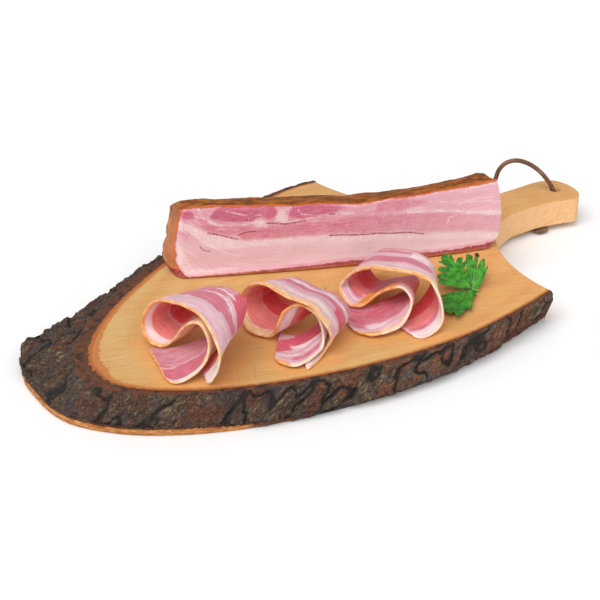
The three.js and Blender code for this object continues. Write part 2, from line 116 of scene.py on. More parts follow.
class Finish:
    """One material: its node tree, and short names for the nodes that the pieces use. A colour is a
    socket, or a tuple of red, green and blue in 0-255 steps."""

    def __init__(self, name, roughness=0.5):
        self.material = bpy.data.materials.new(name)
        self.material.use_nodes = True
        self.tree = self.material.node_tree
        self.surface = self.tree.nodes["Principled BSDF"]
        self.surface.inputs["Roughness"].default_value = roughness

    def node(self, kind, settings=None, inputs=None, output=0):
        """Any node: its settings first, then the values or links of its sockets."""
        node = self.tree.nodes.new("ShaderNode" + kind)
        for key, value in (settings or {}).items():
            if key == "stops":
                self.set_stops(node.color_ramp, value)
            else:
                setattr(node, key, value)
        self.fill(node, inputs or {})
        return Number(self, node.outputs[output])

    def fill(self, node, values):
        """Links or sets a node's sockets."""
        for key, value in values.items():
            if isinstance(value, Number):
                self.tree.links.new(value.socket, node.inputs[key])
            else:
                node.inputs[key].default_value = value

    @staticmethod
    def set_stops(ramp, stops):
        for element, (place, colour) in zip(ramp.elements, (stops[0], stops[-1])):
            element.position = place
            element.color = shade(*colour)
        for place, colour in stops[1:-1]:
            ramp.elements.new(place).color = shade(*colour)

    def set(self, **sockets):
        """Sets sockets of the surface: Base_Color=..., Roughness=..."""
        self.fill(self.surface, {key.replace("_", " "): value for key, value in sockets.items()})

    def math(self, operation, first, second=0.0):
        return self.node("Math", {"operation": operation}, {0: first, 1: second})

    def ease(self, value, low, high):
        """0 at low and 1 at high, eased."""
        sockets = {"Value": value, "From Min": low, "From Max": high}
        return self.node("MapRange", {"interpolation_type": "SMOOTHSTEP"}, sockets)

    def mix(self, mask, first, second):
        """The first colour where mask is 0, the second where it is 1."""
        first, second = [shade(*c) if isinstance(c, tuple) else c for c in (first, second)]
        return self.node("Mix", {"data_type": "RGBA"}, {0: mask, 6: first, 7: second}, output=2)

    def grade(self, value, low, high, first, second):
        """The first colour where a value is low, easing to the second where it is high."""
        return self.mix(self.ease(value, low, high), first, second)

    def coats(self, base, *coats):
        """Lays coats over a base colour, each a value, its low, its high, a strength and a colour: the
        coat shows not at all where the value is low, and up to its strength where it is high."""
        for value, low, high, strength, colour in coats:
            mask = self.ease(value, low, high)
            base = self.mix(mask if strength == 1 else mask * strength, base, colour)
        return base

    def ramp(self, value, *stops):
        return self.node("ValToRGB", {"stops": stops}, {0: value})

    def attribute(self, name, output="Fac"):
        return self.node("Attribute", {"attribute_name": name}, output=output)

    def place(self, turn=(0.0, 0.0, 0.0), stretch=(1.0, 1.0, 1.0)):
        """The piece's own coordinates in millimetres, turned first and then squeezed along X, Y and Z."""
        own = self.node("TexCoord", output="Object")
        turned = self.node("Mapping", inputs={"Vector": own, "Rotation": turn})
        scale = [1 / (MM * s) for s in stretch]
        return self.node("Mapping", inputs={"Vector": turned, "Scale": scale})

    def on_surface(self, name, stretch, degrees=0.0):
        """A vector attribute that runs along the surface, turned in that surface and then squeezed."""
        turn = (0.0, 0.0, math.radians(degrees))
        turned = self.node("Mapping", inputs={"Vector": self.attribute(name, "Vector"), "Rotation": turn})
        return self.node("Mapping", inputs={"Vector": turned, "Scale": [1 / s for s in stretch]})

    def cloud(self, where, size=1.0, detail=2.0, rough=0.5, swirl=0.0):
        """Soft noise from 0 to 1 with features of that many millimetres."""
        sockets = {
            "Vector": where, "Scale": 1 / size, "Detail": detail, "Roughness": rough, "Distortion": swirl,
        }
        return self.node("TexNoise", inputs=sockets)

    def grain(self, degrees, long, fine, detail):
        """Noise drawn out along the wood's top, turned by those degrees: so long, and so fine across."""
        turn = (0, 0, math.radians(degrees))
        return self.cloud(self.place(turn, (long, fine, long)), detail=detail)

    def axis(self, where, letter):
        return self.node("SeparateXYZ", inputs={"Vector": where}, output=letter)

    def bump(self, height, millimetres):
        self.set(Normal=self.node("Bump", inputs={"Height": height, "Distance": millimetres * MM}))


# ---------------- meshes
def select_only(piece):
    bpy.ops.object.select_all(action="DESELECT")
    bpy.context.view_layer.objects.active = piece
    piece.select_set(True)


def added(operator, name, **sizes):
    """A new primitive, added with nothing else selected."""
    bpy.ops.object.select_all(action="DESELECT")
    operator(**sizes)
    bpy.context.object.name = name
    return bpy.context.object


def in_edit_mode(piece, *steps):
    """Runs edit-mode operators on all of a piece."""
    select_only(piece)
    bpy.ops.object.mode_set(mode="EDIT")
    bpy.ops.mesh.select_all(action="SELECT")
    for step in steps:
        step()
    bpy.ops.object.mode_set(mode="OBJECT")


def merge_doubles():
    bpy.ops.mesh.remove_doubles(threshold=0.01 * MM)


def agree_faces():
    bpy.ops.mesh.normals_make_consistent(inside=False)


def face_outwards(piece):
    """Merges doubles, makes the faces of a closed mesh agree, and turns them out if they point in."""
    in_edit_mode(piece, merge_doubles, agree_faces)
    mesh = bmesh.new()
    mesh.from_mesh(piece.data)
    if mesh.calc_volume(signed=True) < 0:
        bmesh.ops.reverse_faces(mesh, faces=mesh.faces)
        mesh.to_mesh(piece.data)
    mesh.free()


def apply_modifier(piece, kind, **settings):
    modifier = piece.modifiers.new(kind.lower(), kind)
    for key, value in settings.items():
        setattr(modifier, key, value)
    select_only(piece)
    bpy.ops.object.modifier_apply(modifier=modifier.name)


def points_of(piece):
    """Every vertex in millimetres."""
    co = np.empty(len(piece.data.vertices) * 3)
    piece.data.vertices.foreach_get("co", co)
    return co.reshape(-1, 3) / MM


def move_points(piece, points):
    piece.data.vertices.foreach_set("co", (points * MM).ravel())
    piece.data.update()


def write_attribute(piece, name, values):
    if values.ndim == 1:
        piece.data.attributes.new(name, "FLOAT", "POINT").data.foreach_set("value", values)
    else:
        piece.data.attributes.new(name, "FLOAT_VECTOR", "POINT").data.foreach_set("vector", values.ravel())


def draped_grid(name, shape, **attributes):
    """A grid primitive whose point (i, j) goes to shape[i, j], with attributes of the same layout."""
    columns, rows = shape.shape[0] - 1, shape.shape[1] - 1
    piece = added(
        bpy.ops.mesh.primitive_grid_add, name, x_subdivisions=columns, y_subdivisions=rows, size=2.0,
    )
    corners = points_of(piece)[:, :2] * MM
    i = np.rint((corners[:, 0] + 1) / 2 * columns).astype(int)
    j = np.rint((corners[:, 1] + 1) / 2 * rows).astype(int)
    move_points(piece, shape[i, j])
    for key, values in attributes.items():
        write_attribute(piece, key, values[i, j])
    return piece


def finish_piece(piece, node, slot, *finishes, smooth=True):
    """The last step of every piece: shading, material, body and CAD node. Its slot is not used."""
    select_only(piece)
    if smooth:
        bpy.ops.object.shade_smooth()
    piece.data.materials.clear()
    for finish in finishes:
        piece.data.materials.append(finish.material)
    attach(piece, "root")
    if node:
        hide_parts(node)
    return piece


def rough_noise(points, size, octaves=3):
    """Fractal noise at each point, about -1 to 1, with features of that size in millimetres."""
    return np.array([noise.fractal(p, 0.7, 2.0, octaves) for p in points / size])


def eased(value, low, high):
    t = np.clip((value - low) / (high - low), 0.0, 1.0)
    return t * t * (3 - 2 * t)


def turned(points, degrees):
    """Points turned about the vertical."""
    turn = math.radians(degrees)
    x = points[:, 0] * math.cos(turn) - points[:, 1] * math.sin(turn)
    y = points[:, 0] * math.sin(turn) + points[:, 1] * math.cos(turn)
    return np.stack([x, y, points[:, 2]], 1)


def run_along(line):
    """How far along a line each of its points lies."""
    return np.r_[0, np.cumsum(np.linalg.norm(np.diff(line, axis=0), axis=1))]


def sampled(marks, run, line):
    """Points at these marks, on a line whose own points lie at run."""
    return np.stack([np.interp(marks, run, line[:, k]) for k in range(line.shape[1])], -1)


def normals_of(sheet):
    """Unit normals of a surface that is given as a grid of points."""
    normal = np.cross(np.gradient(sheet, axis=0), np.gradient(sheet, axis=1))
    return normal / np.linalg.norm(normal, axis=2, keepdims=True)


def through(points, count):
    """Points evenly spread in parameter along a centripetal Catmull-Rom curve through these points."""
    points = np.array(points, float)
    ends = np.vstack([2 * points[0] - points[1], points, 2 * points[-1] - points[-2]])
    made = []
    for t in np.linspace(0, len(points) - 1, count):
        k = min(int(t), len(points) - 2)
        w = t - k
        p0, p1, p2, p3 = ends[k : k + 4]
        d0, d1, d2 = [max(np.linalg.norm(b - a) ** 0.5, 1e-4) for a, b in ((p0, p1), (p1, p2), (p2, p3))]
        leave = ((p1 - p0) / d0 - (p2 - p0) / (d0 + d1) + (p2 - p1) / d1) * d1
        arrive = ((p2 - p1) / d1 - (p3 - p1) / (d1 + d2) + (p3 - p2) / d2) * d1
        bend = 3 * (p2 - p1) - 2 * leave - arrive
        twist = 2 * (p1 - p2) + leave + arrive
        made.append(p1 + leave * w + bend * w**2 + twist * w**3)
    return np.array(made)


# ---------------- thong
LACE_ACROSS = 2.8
LACE_ROUTE = [
    (212.4, -12.7, 1.9), (216.5, -11.3, 1.9), (220.8, -9.8, 1.9), (224.9, -8.2, 1.9),
    (227.7, -7.2, 2.7), (229.7, -6.5, 4.7), (230.4, -6.1, 8), (230, -6, 13), (229, -5.6, 18),
    (227.2, -4.6, 22.4), (224.8, -3, 26.8), (221.7, -0.9, 31.4), (217.9, 1.7, 35.7),
    (212.6, 5.3, 39.6), (207.2, 9, 41.2), (202.4, 12.4, 39.6), (199.4, 14.5, 35.6),
    (198.1, 15.7, 30), (197.6, 16.6, 23.5), (197.7, 17.2, 17), (198, 17.4, 12),
    (198.4, 17.3, 8), (198.9, 16.5, 4.7), (199.8, 14.5, 2.5), (200.8, 11.6, 1.9),
    (202, 7.6, 1.9), (203.4, 2.4, 1.9), (205, -3.8, 1.9), (206.5, -10.2, 1.9),
]
KNOT = {"at": (208.4, -15.2, 2.05), "size": (10.0, 5.8, 3.2), "heading": -14.0}


def leather():
    finish = Finish("brown_leather", roughness=0.55)
    where = finish.place()
    grain = finish.cloud(where, 0.9, detail=4)
    worn = finish.cloud(where, 6, detail=3)
    brown = finish.grade(worn, 0.35, 0.7, (104, 66, 46), (146, 100, 74))
    finish.set(Base_Color=finish.grade(grain, 0.45, 0.75, brown, (84, 52, 36)))
    finish.bump(grain, 0.15)
    return finish


def make_knot(finish):
    """A flat overhand knot: a squashed ball with the lace's turns pressed into it."""
    knot = added(
        bpy.ops.mesh.primitive_uv_sphere_add, "thong_knot_tied", segments=64, ring_count=40, radius=0.5 * MM,
    )
    ball = points_of(knot)
    turns = np.cos(13 * ball[:, 0] + 10 * ball[:, 1])
    ball *= (1 - 0.14 * (0.5 - 0.5 * turns))[:, None]
    move_points(knot, turned(ball * KNOT["size"], KNOT["heading"]) + placed(*KNOT["at"]))
    return finish_piece(knot, "thong_knot", "leather", finish)


def make_thong():
    finish = leather()
    knot = make_knot(finish)
    route = np.array([placed(*point) for point in LACE_ROUTE])
    line = through(route, 8 * (len(route) - 1) + 1)
    data = bpy.data.curves.new("thong_lace", "CURVE")
    data.dimensions = "3D"
    data.bevel_depth = LACE_ACROSS / 2 * MM
    data.bevel_resolution = 5
    data.use_fill_caps = True
    spline = data.splines.new("POLY")
    spline.points.add(len(line) - 1)
    spline.points.foreach_set("co", np.c_[line * MM, np.ones(len(line))].ravel())
    lace = bpy.data.objects.new("thong_lace", data)
    bpy.context.collection.objects.link(lace)
    data.materials.append(finish.material)
    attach(lace, "root")
    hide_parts("thong")


# ---------------- outline
THICK = 20.0
TIP_X = -116.0
# Each side of the log: how wide it is and where, the powers of its curve along X and Y, and the corner
# that the saw left.
NEAR = {"wide": 95.5, "at": 69.0, "px": 1.6, "py": 0.575, "corner": (130.0, 91.0), "side": -1}
FAR = {"wide": 103.0, "at": 100.0, "px": 1.3, "py": 0.535, "corner": (124.0, 100.0), "side": 1}
HANDLE_ROOT = {"x": 186.0, "near": -12.4, "far": 14.5}
HANDLE_END = [
    (186, -12.4), (205, -14.5), (222, -20), (230.5, -23), (237.3, -18.5), (240.8, -8), (238.8, 3.5),
    (230, 8.8), (212, 11.2), (186, 14.5),
]
HOLE = {"at": (229.2, -6.1), "across": 7.0}
# How high the handle's underside is lifted, and between which X it rises.
LIFT = {"high": 3.8, "from": 150.0, "to": 188.0}
CURVE_STEPS = 600


def half_of_log(half):
    """One side of the log's edge, from the corner that the saw left to the tip."""
    corner_x, corner_y = half["corner"]
    share = np.linspace(1, 0, CURVE_STEPS // 4)[:-1]
    x = half["at"] + (corner_x - half["at"]) * share
    y = half["wide"] - (half["wide"] - corner_y) * share**2
    angle = np.linspace(0, math.pi / 2, CURVE_STEPS)
    bend_x = half["at"] - (half["at"] - TIP_X) * np.sin(angle) ** (2 / half["px"])
    bend_y = half["wide"] * np.maximum(np.cos(angle), 0) ** (2 * half["py"])
    return np.c_[np.r_[x, bend_x], half["side"] * np.r_[y, bend_y]]


def evenly(line, step):
    """The same line with points a step apart."""
    run = run_along(line)
    marks = np.linspace(0, run[-1], int(run[-1] / step) + 1)
    return sampled(marks, run, line)


def natural_edge(step):
    """The wood's edge under the bark, from the near corner round the tip to the far corner."""
    line = evenly(np.vstack([half_of_log(NEAR), half_of_log(FAR)[::-1][1:]]), step)
    along = np.gradient(line, axis=0)
    out = np.c_[along[:, 1], -along[:, 0]] * -1
    return line, out / np.linalg.norm(out, axis=1)[:, None]


def sawn_edge():
    """The two hollow shoulders and the handle, from the far corner round to the near corner."""
    angle = np.linspace(0, math.pi / 2, 40)
    sides = []
    for half, root in ((FAR, HANDLE_ROOT["far"]), (NEAR, HANDLE_ROOT["near"])):
        corner_x, corner_y = half["corner"]
        x = HANDLE_ROOT["x"] - (HANDLE_ROOT["x"] - corner_x) * np.cos(angle)
        y = half["side"] * corner_y + (root - half["side"] * corner_y) * np.sin(angle)
        sides.append(np.c_[x, y])
    handle = through(HANDLE_END[::-1], 90)
    return np.vstack([sides[0], handle[1:-1], sides[1][::-1]])


# ---------------- board
# How far the bark stands outside the wood, by the way its edge faces in degrees from +X:
# facing, rim at the top, bulge, the bulge's height, foot at the underside.
BARK = np.array([
    (-84, 0.8, 2, 12, -2.4), (-89, 1, 4, 10, -0.8), (-97, 1.2, 6, 8, 1.4), (-105, 1.2, 8.4, 6, 4.8),
    (-118, 1.5, 9.6, 5.5, 8.8), (-128, 1.8, 10.2, 5.5, 10), (-139, 2.2, 11.4, 5.5, 11.8),
    (-156, 3.2, 13.2, 5.5, 14), (-172, 4, 15.6, 5.5, 16.5), (-190, 4, 18.6, 5.5, 19.8),
    (-204, 4.5, 21.4, 5.5, 22.5), (-215, 5, 26.4, 6, 27.8), (-220, 5.5, 30.4, 7, 31.8),
    (-224, 6, 35.4, 8.5, 35.6), (-228, 6, 38.8, 10, 37), (-232, 6, 38.6, 11.5, 33), (-236, 6, 27, 13, 24),
    (-242, 6, 18.5, 13.5, 16), (-249, 5.5, 15.5, 13.5, 13.5), (-257, 5, 12, 13, 10),
    (-265, 3.5, 5.5, 12, 3.5),
])
BARK_SMOOTHED_OVER = 14
LOG_LEAN = math.radians(35)
LOG_AXIS = Vector((math.cos(LOG_LEAN), 0.0, math.sin(LOG_LEAN)))
LOG_TURN = (0.0, LOG_LEAN, 0.0)
# The wood's own steps along its edge, how far it stays inside the bark's foot, how much its sawn edges
# are eased, and the squares that its faces are cut into.
WOOD = {"step": 2.5, "inside_foot": 3.5, "eased_edge": 0.9, "square": 4.0}


def facing_of(out):
    """The way that each piece of the edge faces, running on from -84 to -265 degrees."""
    facing = np.degrees(np.arctan2(out[:, 1], out[:, 0]))
    return np.where(facing > -60, facing - 360, facing)


def bark_sizes(out, step):
    """Rim, bulge, height and foot for each point of the edge, smoothed along it."""
    facing = facing_of(out)
    window = np.ones(int(BARK_SMOOTHED_OVER / step) | 1)
    made = []
    for column in range(1, 5):
        raw = np.interp(-facing, -BARK[:, 0], BARK[:, column])
        around = np.convolve(np.pad(raw, len(window) // 2, mode="edge"), window, "valid")
        made.append(around / len(window))
    return made


def cut_into_squares(piece, step):
    """Bisects a mesh with upright planes, so that its attributes can vary across a flat face."""
    low, high = points_of(piece).min(0), points_of(piece).max(0)
    select_only(piece)
    bpy.ops.object.mode_set(mode="EDIT")
    for way, normal in enumerate(((1.0, 0.0, 0.0), (0.0, 1.0, 0.0))):
        for at in np.arange(low[way] + step / 2, high[way], step):
            bpy.ops.mesh.select_all(action="SELECT")
            bpy.ops.mesh.bisect(plane_co=[n * at * MM for n in normal], plane_no=normal, threshold=1e-7)
    bpy.ops.object.mode_set(mode="OBJECT")


def flat_shape(name, outline, height=0.0):
    """A disc whose rim is pulled to this outline, lying at this height."""
    count = len(outline)
    piece = added(
        bpy.ops.mesh.primitive_circle_add, name, vertices=count, radius=1.0, fill_type="NGON",
    )
    move_points(piece, np.c_[outline, np.full(count, height)])
    return piece


def slab_of_log():
    """The wood: its top face inside the bark, and its underside where the log has leaned away."""
    natural, out = natural_edge(WOOD["step"])
    foot = bark_sizes(out, WOOD["step"])[3] - WOOD["inside_foot"]
    sawn = sawn_edge()[1:-1]
    top = np.vstack([natural, sawn]) - MIDDLE
    bottom = np.vstack([natural + out * foot[:, None], sawn]) - MIDDLE
    slab = flat_shape("board_wood", top, THICK)
    in_edit_mode(slab, bpy.ops.mesh.extrude_region)
    points = points_of(slab)
    count = len(top)
    points[count:, :2] = bottom
    points[count:, 2] = 0.0
    move_points(slab, points)
    ease_sawn_edges(slab, count, len(natural) - 1)
    face_outwards(slab)
    return slab


def ease_sawn_edges(slab, count, sawn_from):
    """Bevels the edges of the top and the underside, of count points each, where the saw has been."""
    select_only(slab)
    bpy.ops.object.mode_set(mode="EDIT")
    bpy.ops.mesh.select_all(action="DESELECT")
    bpy.ops.object.mode_set(mode="OBJECT")
    for edge in slab.data.edges:
        a, b = edge.vertices
        same_face = (a < count) == (b < count)
        edge.select = same_face and sawn_from <= min(a % count or count, b % count or count)
    bpy.ops.object.mode_set(mode="EDIT")
    bpy.ops.mesh.select_mode(type="EDGE")
    bpy.ops.mesh.bevel(offset=WOOD["eased_edge"] * MM, segments=3, profile=0.6)
    bpy.ops.mesh.select_mode(type="VERT")
    bpy.ops.object.mode_set(mode="OBJECT")


def drill_hole(slab):
    drill = added(
        bpy.ops.mesh.primitive_cylinder_add, "drill", vertices=48, radius=HOLE["across"] / 2 * MM,
        depth=3 * THICK * MM, location=[c * MM for c in placed(*HOLE["at"], THICK / 2)],
    )
    apply_modifier(slab, "BOOLEAN", object=drill, operation="DIFFERENCE", solver="EXACT")
    bpy.data.objects.remove(drill)


def plane_handle(slab):
    """Lifts the underside of the handle a little, and files off what the bevel left at the corners."""
    points = points_of(slab)
    points[:, 2] = np.clip(points[:, 2], 0.0, THICK)
    x = points[:, 0] + MIDDLE[0]
    lift = LIFT["high"] * eased(x, LIFT["from"], LIFT["to"])
    points[:, 2] = lift + points[:, 2] * (THICK - lift) / THICK
    move_points(slab, points)


def nearest_on(points, line):
    """For each point, the distance to the nearest point of a dense line, and which one that is."""
    near = np.full(len(points), np.inf)
    which = np.zeros(len(points), int)
    for start in range(0, len(line), 64):
        gaps = np.linalg.norm(points[:, None, :] - line[None, start : start + 64, :], axis=2)
        best = gaps.argmin(axis=1)
        closer = gaps[np.arange(len(points)), best] < near
        near[closer] = gaps[np.arange(len(points)), best][closer]
        which[closer] = best[closer] + start
    return near, which


# By the way the edge faces: how wide the inner bark's orange ring is, and how far the outer bark's
# brown reaches in over it.
INNER_BARK = np.array([
    (-84, 1.7, 0.2), (-118, 2.2, 0.3), (-139, 2.8, 0.4), (-152, 4.2, 1.0), (-168, 8, 2.6),
    (-180, 11, 4), (-196, 10.5, 4), (-210, 8.5, 2.6), (-228, 7, 1.6), (-240, 4.5, 0.8), (-265, 1.6, 0.2),
])


def sawn_wood():
    finish = Finish("sawn_wood", roughness=0.62)
    finish.set(Specular_IOR_Level=0.3)
    where = finish.place()
    x, y = finish.axis(where, "X"), finish.axis(where, "Y")
    drift = finish.cloud(where, 60, detail=2)
    year = finish.node("TexWave", {"wave_type": "RINGS", "rings_direction": "Z"}, {
        "Vector": finish.place(stretch=(1.9, 1.0, 1.0)), "Scale": 0.021, "Distortion": 5.0, "Detail": 3.0,
        "Detail Scale": 0.35,
    })
    streak = finish.grain(20, 26, 1.1, detail=4)
    line = finish.grain(26, 14, 0.5, detail=3)
    saw = finish.grain(-56, 40, 0.7, detail=2)
    mottle = finish.cloud(where, 16, detail=4, rough=0.6)
    fine = finish.cloud(where, 0.8, detail=3)
    # Painted warm shade: within about 12 mm of the slices the wood is painted a deeper orange for the shade
    # and warm bounce round them.
    soaked = finish.attribute("soaked") + (mottle - 0.5) * 12
    tan = finish.coats(
        finish.grade(x + (drift - 0.5) * 120, -110, 60, (208, 171, 110), (221, 165, 99)),
        (y + x * 0.5, 15, 90, 0.6, (197, 158, 105)), (year, 0.3, 1.0, 0.28, (206, 138, 76)),
        (mottle, 0.45, 0.75, 0.35, (212, 146, 82)), (streak, 0.5, 0.72, 0.35, (192, 126, 68)),
        (line, 0.54, 0.7, 0.35, (186, 120, 60)), (line, 0.46, 0.3, 0.35, (236, 192, 130)),
        (soaked, 12, 0, 0.36, (244, 160, 84)), (fine, 0.55, 0.8, 0.15, (180, 116, 62)),
        (saw, 0.6, 0.72, 0.22, (190, 124, 62)),
    )
    gap, wide, outer = [finish.attribute(name) for name in ("to_edge", "ring_wide", "outer_bark")]
    teeth = finish.grain(12, 4.0, 1.6, detail=2)
    ragged = (finish.cloud(where, 4.0, detail=3) - 0.5) * 2.2 + (teeth - 0.5) * 2.4
    upward = finish.axis(finish.node("NewGeometry", output="Normal"), "Z")
    on_top = finish.ease(upward, 0.6, 0.8)
    orange = finish.mix(finish.cloud(where, 2.4, detail=3), (150, 82, 36), (190, 116, 56))
    orange = finish.coats(orange, (gap - wide * 0.55, -0.8, 0.8, 0.4, (214, 150, 90)))
    brown = finish.mix(finish.cloud(where, 2.0, detail=4), (62, 42, 32), (112, 70, 46))
    tan = finish.coats(
        tan, (gap + ragged * wide * 0.22 - wide, 0.3, -0.3, on_top, orange),
        (gap + ragged * outer * 0.75 - outer, 0.25, -0.25, on_top, brown),
    )
    edge_grain = finish.cloud(finish.place(LOG_TURN, (30, 1.0, 1.6)), detail=3)
    sawn = finish.grade(edge_grain, 0.4, 0.7, (236, 188, 136), (228, 176, 120))
    side = finish.grade(gap, 0.8, 1.6, brown, sawn)
    finish.set(Base_Color=finish.grade(upward, 0.75, 0.4, tan, side))
    finish.bump(saw * 0.5 + fine * 0.3 + line * 0.2, 0.16)
    return finish


def resting_places():
    """Points of the slices' edges, round which the wood is painted a warmer orange as painted shade."""
    places = []
    for rasher in RASHERS.values():
        middle = placed(*rasher["place"])
        for x, y, _, heading, width, _ in rasher["stations"]:
            turn = math.radians(heading)
            way = np.array([math.cos(turn), math.sin(turn)])
            places += [np.add(middle, (x, y)) + way * reach for reach in np.linspace(0, width, 6)]
    return np.array(places)


def make_board_wood():
    slab = slab_of_log()
    drill_hole(slab)
    cut_into_squares(slab, WOOD["square"])
    plane_handle(slab)
    points = points_of(slab)
    line, out = natural_edge(1.0)
    gap, which = nearest_on(points[:, :2], line - MIDDLE)
    facing = facing_of(out)[which]
    write_attribute(slab, "to_edge", gap)
    # How far each point is from the slices, for the painted warm shade round them.
    write_attribute(slab, "soaked", nearest_on(points[:, :2], resting_places())[0])
    write_attribute(slab, "ring_wide", np.interp(-facing, -INNER_BARK[:, 0], INNER_BARK[:, 1]))
    write_attribute(slab, "outer_bark", np.interp(-facing, -INNER_BARK[:, 0], INNER_BARK[:, 2]))
    return finish_piece(slab, "board", "wood", sawn_wood(), smooth=False)


# Sizes of the bark's features: its furrows, plates, ledges and flakes, and the patches of its tone.
FURROWS, PLATES, LEDGES, FLAKES, PATCHES = 14.0, 3.4, 6.0, 1.7, 3.2


def bark_relief(points):
    """Height of the furrowed bark over its mean surface, its cracks, and the tone of its flakes."""
    across = Vector((0.0, 1.0, 0.0))
    axes = np.array([LOG_AXIS, across, LOG_AXIS.cross(across)])
    log = points @ axes.T / np.array([2.2, 1.0, 1.0])
    high, crack, tone = np.empty((3, len(points)))
    for k, q in enumerate(log):
        q = Vector(q)
        q += 2.0 * noise.noise_vector(q / 6.0) + 0.8 * noise.noise_vector(q / 2.0)
        furrow = max(0.0, 1.0 - 5.5 * abs(noise.fractal(q / FURROWS, 0.9, 2.0, 2)))
        near = noise.voronoi(q / PLATES)[0]
        split = max(0.0, 1.0 - (near[1] - near[0]) / 0.2)
        terrace = 4.5 * noise.fractal(q / LEDGES + Vector((40, 0, 0)), 0.8, 2.0, 3)
        step = math.floor(terrace)
        ledge = step + 0.5 + 0.5 * math.tanh(7 * (terrace - step - 0.5))
        lip = max(0.0, 1.0 - 5.0 * abs(terrace - step - 0.5))
        scale = noise.fractal(q / FLAKES + Vector((0, 40, 0)), 0.8, 2.0, 3)
        crack[k] = max(furrow, 0.6 * split, 0.5 * lip)
        high[k] = 0.4 * ledge + 0.55 * scale - 2.2 * furrow**1.5 - 0.45 * split
        tone[k] = 0.5 + 0.5 * noise.fractal(q / PATCHES + Vector((1.7 * step, 9, 0)), 0.7, 2.0, 3)
    return high, crack, tone


def bark_finish():
    finish = Finish("furrowed_bark", roughness=0.85)
    where = finish.place(LOG_TURN, (2.4, 1.0, 1.0))
    even = finish.place()
    fine = finish.cloud(where, 0.9, detail=5, rough=0.7)
    speck = finish.cloud(even, 0.6, detail=3, rough=0.75)
    broad = finish.cloud(where, 11, detail=4, rough=0.6)
    peel = finish.math("PINGPONG", finish.cloud(where, 5.5, detail=3, rough=0.55, swirl=0.6) * 9, 0.5) * 2
    coat = finish.ramp(
        finish.attribute("tone") * 0.7 + 0.15 + (fine - 0.5) * 0.9 + (broad - 0.5) * 0.5,
        (0.1, (38, 28, 26)), (0.34, (74, 54, 44)), (0.48, (108, 78, 58)), (0.58, (96, 80, 66)),
        (0.72, (134, 114, 82)), (0.92, (176, 158, 112)),
    )
    slate = finish.mix(fine, (44, 42, 50), (104, 98, 104))
    rust = finish.mix(fine, (78, 42, 26), (156, 90, 52))
    olive = finish.ease(finish.cloud(even, 8, detail=3), 0.54, 0.62)
    damp = finish.ease(finish.axis(even, "X") + (broad - 0.5) * 60, -10, -110)
    crack = finish.attribute("crack") + (fine - 0.5) * 0.9
    coat = finish.coats(
        coat, (finish.cloud(where, 7, detail=4), 0.52, 0.6, 0.6, slate),
        (finish.cloud(where, 9, detail=4, swirl=0.5), 0.52, 0.6, 0.75, rust),
        (fine, 0.5, 0.64, olive * 0.6, (140, 124, 80)), (speck, 0.58, 0.68, olive * 0.8, (196, 184, 120)),
        (peel, 0.3, 0.06, 0.7, (36, 26, 24)), (fine, 0.7, 0.34, damp * 0.7, (36, 24, 20)),
        (crack, 0.3, 0.75, 0.9, (24, 17, 15)), (speck, 0.42, 0.28, 0.6, (32, 24, 22)),
        (speck, 0.62, 0.74, 0.35, (186, 160, 124)),
    )
    streak = finish.cloud(finish.place(stretch=(5.0, 5.0, 1.0)), detail=4)
    cut = finish.coats(
        finish.mix(finish.cloud(even, 2.2, detail=5, rough=0.65), (52, 30, 22), (132, 76, 46)),
        (finish.cloud(even, 5, detail=5), 0.5, 0.6, 0.8, (42, 29, 25)),
        (streak, 0.56, 0.7, 0.4, (142, 80, 46)),
    )
    rim = finish.attribute("rim") + (fine - 0.5) * 1.6 + (broad - 0.5) * 0.8
    foot = finish.attribute("foot") + (fine - 0.5) * 0.5
    inner = finish.mix(fine, (82, 48, 32), (122, 74, 46))
    bare = finish.grade(streak, 0.35, 0.65, (176, 102, 46), (218, 150, 82))
    finish.set(Base_Color=finish.coats(
        coat, (rim, 0.4, 0.6, 1, cut), (foot, 0.1, 0.3, 1, inner), (foot, 0.5, 0.62, 1, bare),
    ))
    finish.bump(fine * 0.5 + speck * 0.3 + peel * 0.35, 1.0)
    return finish


BARK_STEP = 0.82
# Round the tip the saw has left a bare lip of inner bark under the outer bark. It comes in over the
# first of these facings and goes out over the last, and it starts at this knot of the section.
LIP_FROM, LIP_TO = (108, 128), (216, 232)
LIP_KNOT = 6


def bark_section(rim, bulge, height, foot, bare):
    """The knots of the section: distance outside the wood, height, rows up to it, how much relief."""
    still = np.zeros_like(rim)
    start = (still - 0.8, still + 18.9)
    return [
        (*start, 0, still), (still, still + THICK - 0.05, 1, still),
        (rim - 0.7, still + THICK - 0.15, 8, still + 0.12), (rim + 0.3, still + THICK - 0.7, 2, still + 0.35),
        (rim + 1.6, still + THICK - 2.2, 3, still + 0.6), (bulge, height + 0.4, 42, still + 1),
        (foot - 0.4 * bare, 2.2 + 1.3 * bare, 22, 0.9 - 0.2 * bare),
        (foot - 0.2 + 0.9 * bare, 1.5 + 1.3 * bare, 2, 0.7 * (1 - bare)),
        (foot - 0.6 + 1.4 * bare, 0.8 + 0.5 * bare, 3, 0.5 * (1 - bare)),
        (foot - 1.4 + 1.4 * bare, still + 0.1, 2, still), (foot - 4.6, still + 0.3, 2, still),
        (*start, 3, still),
    ]


def rows_between(section, bare):
    """Distance outside the wood, height, relief and bareness, for each row round the section."""
    outside, height, _, relief = section[0]
    rows = [(outside, height, relief, np.zeros_like(bare))]
    for knot, (before, after) in enumerate(zip(section, section[1:]), start=1):
        for row in range(1, after[2] + 1):
            t = row / after[2]
            between = [before[k] + (after[k] - before[k]) * t for k in (0, 1, 3)]
            share = 1.0 if knot > LIP_KNOT else 0.25 if knot == LIP_KNOT and t > 0.85 else 0.0
            rows.append((*between, bare * share))
    return np.transpose(rows, (1, 2, 0))


